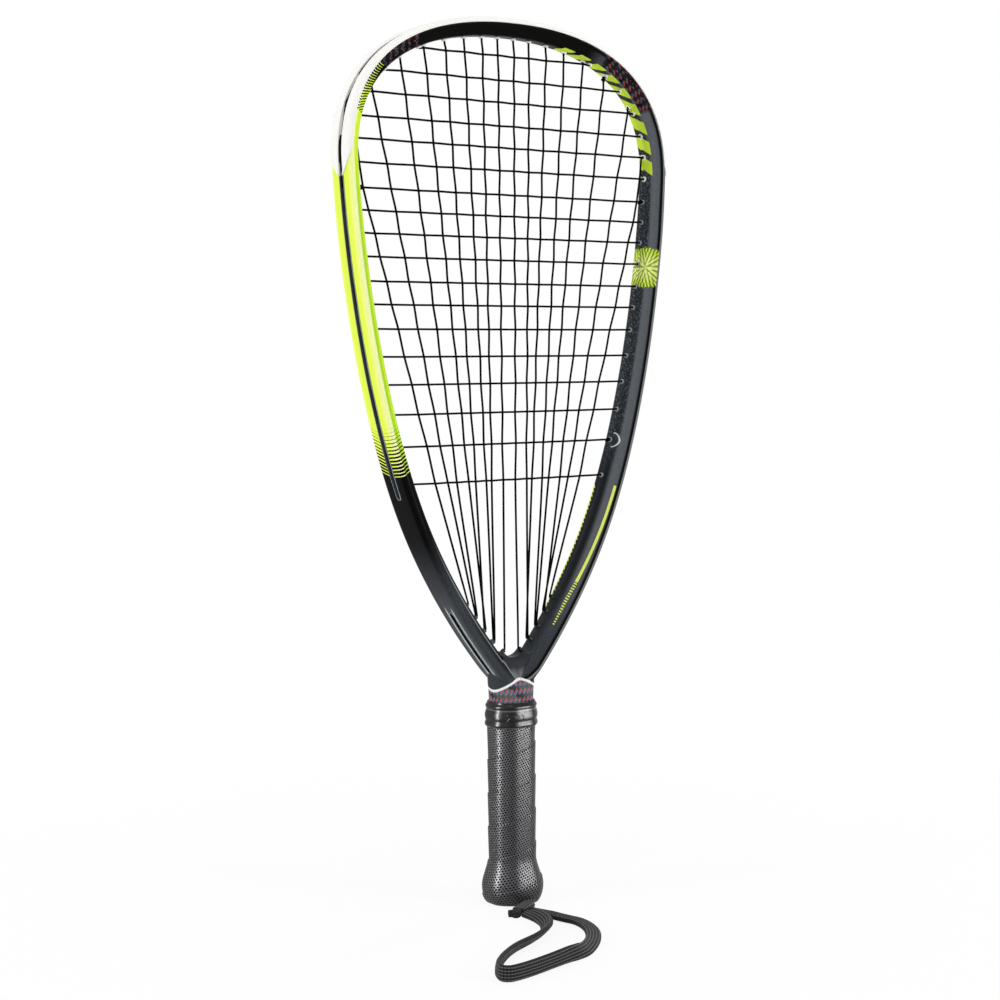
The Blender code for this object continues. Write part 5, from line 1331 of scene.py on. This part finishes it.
MAIN_SHARE, CROSS_SHARE, STRING_GAUZE = 0.62, 1.33, 0.06
CROSSINGS = {}
for main_number in range(1, MAIN_COUNT + 1):
    for cross_number in range(1, CROSS_COUNT + 1):
        across = crossing_x(main_number, cross_number)
        if across is not None:
            depth = woven_depth(main_number, cross_number, across)
            CROSSINGS[main_number, cross_number] = (across, depth)


def crossing(main, cross, share):
    """Where two strings cross, share of the weave's depth to the rear."""
    x, depth = CROSSINGS[main, cross]
    return Vector((x, depth * share, CROSS_HEIGHTS[cross - 1]))


def bed_run(start, crossings, end):
    """Smoothly woven points from one barrel to another through the crossings."""
    knots = [start] + crossings + [end]
    points = []
    for a, b in zip(knots, knots[1:]):
        for t in np.arange(6) / 6:
            eased = (1 - math.cos(math.pi * t)) / 2
            spot = a.lerp(b, t)
            spot.y = a.y + (b.y - a.y) * (eased * 0.75 + t * 0.25)
            points.append(spot)
    return points + [end]


def main_run(number):
    bottom, rank = MAIN_BOTTOMS[number - 1], MAIN_RANKS[number - 1]
    crossings = [crossing(number, cross, MAIN_SHARE) for cross in range(1, CROSS_COUNT + 1)
                 if (number, cross) in CROSSINGS]
    return bed_run(mouth_point(MAIN_TOPS[number - 1], STAND_HEAD, LANE), crossings,
                   mouth_point(bottom, THROAT_STANDS[rank], throat_lane(number)))


def cross_run(number):
    s = CROSS_STATIONS[number - 1]
    crossings = [crossing(main, number, -CROSS_SHARE) for main in range(1, MAIN_COUNT + 1)
                 if (main, number) in CROSSINGS]
    return bed_run(mouth_point(-s, STAND_HEAD, -LANE), crossings,
                   mouth_point(s, STAND_HEAD, -LANE))


def tie_off(start, finish, lane):
    """A string's last run, to the mouth by its knot."""
    end = at(finish, mouth_out(finish, STAND_HEAD) - 0.4, lane)
    return outside_run(start, finish, lane) + [end]


def string_paths():
    """Points of the mains' string and of the crosses' string."""
    tie_s = CROSS_STATIONS[MAIN_TIE_CROSS - 1]
    mains = tie_off(MAIN_TOPS[0], -tie_s, LANE)[::-1]
    for number in range(1, MAIN_COUNT + 1):
        run = main_run(number)
        top, bottom = MAIN_TOPS[number - 1], MAIN_BOTTOMS[number - 1]
        if number % 2:
            mains += run + outside_run(bottom, MAIN_BOTTOMS[number], throat_lane(number))
        else:
            mains += run[::-1]
            if number < MAIN_COUNT:
                mains += outside_run(top, MAIN_TOPS[number], LANE)
    mains += tie_off(MAIN_TOPS[-1], tie_s, LANE)
    crosses = tie_off(CROSS_STATIONS[0], MAIN_TOPS[TOP_TIE_MAIN - 1], -LANE)[::-1]
    for number in range(1, CROSS_COUNT + 1):
        run, s = cross_run(number), CROSS_STATIONS[number - 1]
        if number % 2:
            crosses += run[::-1] + outside_run(-s, -CROSS_STATIONS[number], -LANE)
        else:
            crosses += run
            if number < CROSS_COUNT:
                crosses += outside_run(s, CROSS_STATIONS[number], -LANE)
    end = tie_off(CROSS_STATIONS[-1], CROSS_STATIONS[BOTTOM_TIE_CROSS - 1], LANE)
    for i, share in enumerate((1.0, 1.0, 0.8, 0.55, 0.3, 0.1)):
        end[i].y = LANE - 2 * LANE * share
    return mains, crosses + end


def string_material(name):
    paint = Paint(name, 0.3, Specular_IOR_Level=0.02)
    vector, (along, around) = paint.place()
    grain = noise(vector, 1.5, 4.0)
    paint.set("Base Color", fade(grain, 0.35, 0.7, srgb(3, 3, 4), srgb(9, 9, 10)))
    paint.bump(abs(wave(along + around * 1.2, 1.1) - 0.5), 0.12, 0.05)
    paint.worn(vector, 0.8, 0.26, 0.4)
    return paint.material


KNOT_START, KNOT_LENGTH, KNOT_TURNS, KNOT_RADIUS, KNOT_THREAD = 0.9, 1.15, 2.2, 1.05, 0.48


def make_knot(name, node, anchor, toward, material):
    """A wound knot round the anchor string, close to its barrel, with a cut tail."""
    way = (toward - anchor).normalized()
    side = way.cross(Vector((0, 1, 0))).normalized()
    up, sides = side.cross(way), 20
    points = []
    for i in range(int(KNOT_TURNS * sides) + 1):
        angle = 2 * math.pi * i / sides
        spoke = side * math.cos(angle) + up * math.sin(angle)
        along = KNOT_START + KNOT_LENGTH * i / (KNOT_TURNS * sides)
        points.append(anchor + way * along + spoke * KNOT_RADIUS)
    across = way.cross(spoke)
    points += [points[-1] + across * 0.5 + spoke * 0.15 + way * 0.2,
               points[-1] + across * 1.1 + spoke * 0.4 + way * 0.5]
    body = Body()
    tube(body, points, circle(KNOT_THREAD, 10))
    knot = body.make(name, material, 60.0)
    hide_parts(node)
    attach(knot, "root")


def make_strings():
    mains, crosses = string_paths()
    for points, node, word in ((mains, "main_string", "main"), (crosses, "cross_string", "cross")):
        body = Body()
        tube(body, points, circle(STRING_RADIUS + STRING_GAUZE, 8), (0, 1.0, 0))
        material = string_material(word + "_string_gloss")
        piece = body.make(word + "_string_woven", material, 70.0)
        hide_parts(node)
        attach(piece, "root")
    material = string_material("tie_knot_gloss")
    for side, main, word, slot in ((-1, 1, "left", "knot_a"), (1, MAIN_COUNT, "right", "knot_b")):
        s = side * CROSS_STATIONS[MAIN_TIE_CROSS - 1]
        make_knot("tie_knot_main_" + word, "main_tie_knot_" + word,
                  mouth_point(s, STAND_HEAD, -LANE), crossing(main, MAIN_TIE_CROSS, -1),
                  material)
    first = min(cross for main, cross in CROSSINGS if main == TOP_TIE_MAIN)
    make_knot("tie_knot_cross_top", "cross_tie_knot_top",
              mouth_point(MAIN_TOPS[TOP_TIE_MAIN - 1], STAND_HEAD, LANE),
              crossing(TOP_TIE_MAIN, first, 1), material)
    last = max(main for main, cross in CROSSINGS if cross == BOTTOM_TIE_CROSS)
    make_knot("tie_knot_cross_bottom", "cross_tie_knot_bottom",
              mouth_point(CROSS_STATIONS[BOTTOM_TIE_CROSS - 1], STAND_HEAD, -LANE),
              crossing(last, BOTTOM_TIE_CROSS, -1), material)


make_strings()


# Handle

PALLET_HALF_WIDTH, PALLET_HALF_DEPTH, PALLET_BEVEL = 13.0, 11.4, 6.2
WRAP_PITCH, WRAP_PHASE, WRAP_STEP, WRAP_THICKNESS = 21.7, 41.8, 0.55, 1.6
WRAP_LOW, WRAP_HIGH = 0.8, 116.3


def octagon(offset, sharpness=13):
    """Radius of the handle's soft octagon, an offset out from the pallets, by angle."""
    offset += CLEARANCE
    half_width, half_depth = PALLET_HALF_WIDTH + offset, PALLET_HALF_DEPTH + offset
    corner = PALLET_HALF_WIDTH + PALLET_HALF_DEPTH - PALLET_BEVEL
    diagonal = corner * math.sqrt(0.5) + offset

    def radius(angle):
        total = 0.0
        for i in range(8):
            reach = (half_width, diagonal, half_depth, diagonal)[i % 4]
            facing = math.cos(angle - i * math.pi / 4)
            if facing > 0:
                total += (facing / reach) ** sharpness
        return total ** (-1 / sharpness)
    return radius


FLARE, FLARE_START, FLARE_END = 4.5, 30.0, 10.5


def flare(z):
    """How far the butt swells out at height z; its rim rounds off below."""
    t = portion(z, FLARE_START, FLARE_END)
    swell = FLARE * t * t * (3 - 2 * t)
    if z < FLARE_END:
        u = (FLARE_END - z) / FLARE_END
        swell -= FLARE * (1 - math.sqrt(max(1 - u * u, 0.0)))
    return swell


def grip_material():
    """Perforated tape; the map counts holes along the tape and across it."""
    paint = Paint("grip_perforated", 0.42, Specular_IOR_Level=0.32)
    _, (u, v) = paint.place()
    odd_row = abs(maths("FLOOR", v)) % 2.0 * 0.5
    a, b = maths("FRACT", u + odd_row) - 0.5, maths("FRACT", v) - 0.5
    hole = ramp(root(a * a + b * b), 0.28, 0.36, 1.0, 0.0)
    grain = noise(paint.point(), 2.5, 4.0)
    rubber = speckled(grain, srgb(40, 40, 43), srgb(56, 56, 60))
    # Painted shade: the holes are near black and reflect nothing, standing in for their depth.
    paint.set("Base Color", mix(hole, rubber, srgb(3, 3, 4)))
    paint.set("Specular Tint", mix(hole, (1, 1, 1, 1), (0, 0, 0, 1)))
    paint.set("Roughness", ramp(hole, 0.0, 1.0, 0.42, 0.9))
    paint.bump(grain * 0.2 - hole, 0.5, 0.3)
    return paint.material


def make_wrap():
    """Helical tape: each turn's edge stands a little over the turn before."""
    sides, holes_round, holes_across = 112, 52, 14
    profile = [(t, t - 0.5) for t in np.linspace(0.0, 0.93, 15)]
    profile += [(0.955, 0.49), (0.975, 0.42), (0.985, 0.2), (0.995, -0.3)]
    first_angle = math.atan2(PALLET_HALF_DEPTH - PALLET_BEVEL, PALLET_HALF_WIDTH)
    rings, maps = [], []
    for rank, lift in [(turn + t, lift) for turn in range(-3, 6) for t, lift in profile]:
        ring, places = [], []
        for share in np.arange(sides + 1) / sides:
            angle = first_angle + 2 * math.pi * share
            z = WRAP_PHASE + WRAP_PITCH * (rank + share)
            level = min(max(z, WRAP_LOW), WRAP_HIGH)
            offset = flare(level) + CLEARANCE + WRAP_THICKNESS + lift * WRAP_STEP
            reach = octagon(offset)(angle)
            ring.append((reach * math.cos(angle), reach * math.sin(angle), level))
            places.append((share * holes_round, rank * holes_across))
        rings.append(ring)
        maps.append(places)
    body = Body()
    body.verts = [point for ring in rings for point in ring[:sides]]

    def index(i, j):
        """A turn's last point is the next turn's first."""
        return i * sides + j if j < sides else (i + len(profile)) * sides

    for i in range(len(rings) - len(profile) - 1):
        for j in range(sides):
            corners = [(i, j), (i, j + 1), (i + 1, j + 1), (i + 1, j)]
            face = [index(*corner) for corner in corners]
            levels = [body.verts[k][2] for k in face]
            if max(levels) - min(levels) >= 1e-6:
                body.faces.append(face)
                body.maps += [maps[a][b] for a, b in corners]
    wrap = body.make("grip_wrap_tape", grip_material(), 35.0)
    trim = bmesh.new()
    trim.from_mesh(wrap.data)
    bmesh.ops.remove_doubles(trim, verts=trim.verts, dist=1e-6)
    loose = [v for v in trim.verts if not v.link_faces]
    bmesh.ops.delete(trim, geom=loose, context="VERTS")
    trim.to_mesh(wrap.data)
    trim.free()
    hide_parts("grip_wrap")
    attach(wrap, "root")


COLLAR_TOP, COLLAR_BORE = (14.8, 12.0, 3.0), (14.0, 11.6, 3.0)
# Height of each ring of the collar, its offset from the pallets, and how round it is
COLLAR_PROFILE = (
    (114.3, 1.75, 0), (114.5, 2.5, 0), (114.9, 3.05, 0), (115.6, 3.4, 0), (116.4, 3.55, 0),
    (117.5, 3.3, 0), (118.4, 2.95, 0), (119.4, 3.15, 0), (120.8, 3.45, 0), (122.6, 3.4, 0),
    (124.4, 3.0, 0), (125.8, 2.55, 0), (126.7, 2.75, 0.05), (127.6, 3.2, 0.12),
    (128.5, 3.1, 0.25), (129.4, 2.5, 0.5), (130.1, 1.9, 0.8), (130.6, 1.3, 1.0))


def collar_material():
    paint = Paint("collar_gloss", 0.3, Specular_IOR_Level=0.18)
    _, (around, z) = paint.place()
    point = paint.point()
    grain = noise(point, 1.2, 3.0)
    shade = speckled(grain, srgb(6, 6, 7), srgb(13, 13, 14))
    # Painted highlight: light lines along the fillets under the two ridges.
    fillet_highlight = larger(band(z, 125.3, 126.1, 0.2), band(z, 114.5, 115.1, 0.2))
    paint.set("Base Color", mix(fillet_highlight, shade, srgb(84, 85, 90)))
    paint.worn(point, 0.4, 0.28, 0.36)
    mark = band(wave(around + abs(z - 121.4), 3.2), 0.1, 0.4, 0.06)
    mark = mark * band(z, 119.5, 123.3, 0.1) * band(around, 62.0, 74.0, 0.3)
    paint.bump(mark + grain * 0.1, 0.6, 0.25)
    return paint.material


def make_collar():
    sides = 96
    rings = [polar_ring(z, octagon(1.72, 14), sides) for z in (115.6, 114.3)]
    for z, offset, blend in smooth_line(COLLAR_PROFILE, 0.35):
        eight = octagon(offset, 14)
        rings.append(polar_ring(z, lambda a: eight(a) * (1 - blend)
                                + squircle(*COLLAR_TOP, a) * blend, sides))
    rings += [polar_ring(z, lambda a: squircle(*COLLAR_BORE, a), sides) for z in (130.6, 122.0)]
    around = np.arange(sides + 1) * 100.0 / sides
    body = Body()
    body.skin(rings, [[(share, ring[0][2]) for share in around] for ring in rings], caps=False)
    collar = body.make("collar_ring", collar_material(), 60.0)
    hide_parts("collar")
    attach(collar, "root")


def dress_nodes():
    """Procedural finishes for the CAD pieces whose own shape stays."""
    foam = plastic("pallet_foam", srgb(120, 114, 102), srgb(134, 128, 116), 0.85)
    cap = plastic("cap_plastic", srgb(28, 28, 29), srgb(40, 40, 41), 0.5)
    tape = plastic("tape_vinyl", srgb(20, 20, 21), srgb(28, 28, 30), 0.35)
    steel = Paint("staple_steel", 0.3, Metallic=1.0)
    scratches = noise(steel.point(), 3.0, 5.0)
    steel.set("Base Color", speckled(scratches, srgb(160, 162, 165), srgb(190, 192, 195)))
    steel.set("Roughness", ramp(scratches, 0.3, 0.7, 0.25, 0.4))
    for name, material in (("handle_pallet_front", foam), ("handle_pallet_rear", foam),
                           ("butt_cap", cap), ("finishing_tape", tape),
                           ("butt_cap_staple_left", steel.material),
                           ("butt_cap_staple_right", steel.material)):
        mesh = frame["nodes"][name].data
        mesh.materials.clear()
        mesh.materials.append(material)


make_wrap()
make_collar()
dress_nodes()


# Studio

def seen_by(tree, *rays):
    """1 for the kinds of ray named, 0 for the others."""
    paths = tree.nodes.new("ShaderNodeLightPath").outputs
    seen = Value(paths[rays[0]])
    for ray in rays[1:]:
        seen = larger(seen, Value(paths[ray]))
    return seen


def make_world():
    world = bpy.data.worlds.new("studio")
    bpy.context.scene.world = world
    world.use_nodes = True
    background = world.node_tree.nodes["Background"]
    white = seen_by(world.node_tree, "Is Camera Ray", "Is Glossy Ray", "Is Transmission Ray")
    feed(background.inputs["Strength"],
         add_node(world.node_tree, "MapRange", white, 0.0, 1.0, WORLD_STRENGTH, 1.0))
    background.inputs["Color"].default_value = (1, 1, 1, 1)


def make_floor():
    """Pale floor that turns into the white backdrop away from the racket."""
    mesh = bpy.data.meshes.new("floor")
    mesh.from_pydata([(x * FLOOR_REACH, y * FLOOR_REACH, FLOOR_LEVEL)
                      for x, y in ((-1, -1), (1, -1), (1, 1), (-1, 1))], [], [(0, 1, 2, 3)])
    floor = add_object("floor", mesh)
    paint = Paint("floor_white", 0.9, Specular_IOR_Level=0.1, Base_Color=(0.92, 0.92, 0.92, 1))
    place = add_node(paint.tree, "TexCoord", output="Object")
    away = add_node(paint.tree, "VectorMath", place, operation="LENGTH", output="Value")
    share = add_node(paint.tree, "MapRange", away, *FLOOR_FADE, 0.9, 1.0)
    white = seen_by(paint.tree, "Is Camera Ray", "Is Glossy Ray") * share
    glow = add_node(paint.tree, "Emission", (1, 1, 1, 1), 1.0)
    diffuse = Value(paint.tree.nodes["Principled BSDF"].outputs[0])
    feed(paint.tree.nodes["Material Output"].inputs[0],
         add_node(paint.tree, "MixShader", white, diffuse, glow))
    mesh.materials.append(paint.material)


def make_lamps():
    """Lamps round the racket; the two low ones light the handle alone."""
    handle_only = bpy.data.collections.new("handle_only")
    for lit in bpy.data.objects:
        if lit.name.startswith(("grip", "collar", "butt")):
            handle_only.objects.link(lit)
    for name, azimuth, height, distance, width, tall, power in LAMPS:
        light = bpy.data.lights.new(name, "AREA")
        light.shape = "RECTANGLE"
        light.size, light.size_y, light.energy = width, tall, power
        lamp, angle, low = add_object(name, light), math.radians(azimuth), name.startswith("low")
        lamp.location = (math.sin(angle) * distance, -math.cos(angle) * distance, height)
        lamp.visible_diffuse = not low
        lamp.visible_glossy = name not in ("rim", "back")
        if low:
            lamp.light_linking.receiver_collection = handle_only
        lamp.rotation_mode = "QUATERNION"
        aim = Vector((0, 0, height if low else AIM_HEIGHT)) - lamp.location
        lamp.rotation_quaternion = aim.to_track_quat("-Z", "Y")


# Sizes in metres; each lamp's name, azimuth, height, distance, width, tallness and power
WORLD_STRENGTH, FLOOR_REACH, FLOOR_LEVEL, FLOOR_FADE = 0.4, 20.0, -0.0002, (0.15, 0.55)
AIM_HEIGHT = 0.28
LAMPS = (("key", -98.0, 0.7, 1.8, 0.5, 1.6, 15.0), ("fill", 32.0, 0.7, 2.1, 0.4, 1.6, 20.0),
         ("rim", 104.0, 0.6, 2.0, 0.4, 1.6, 12.0), ("top", -30.0, 2.3, 0.5, 1.2, 1.2, 14.0),
         ("back", 160.0, 1.2, 2.2, 1.2, 1.6, 9.0),
         ("low_left", -92.0, 0.16, 0.3, 0.07, 0.31, 6.5),
         ("low_right", 35.5, 0.16, 0.3, 0.06, 0.31, 3.2))

make_world()
make_floor()
make_lamps()
bpy.context.scene.view_settings.view_transform = "Standard"
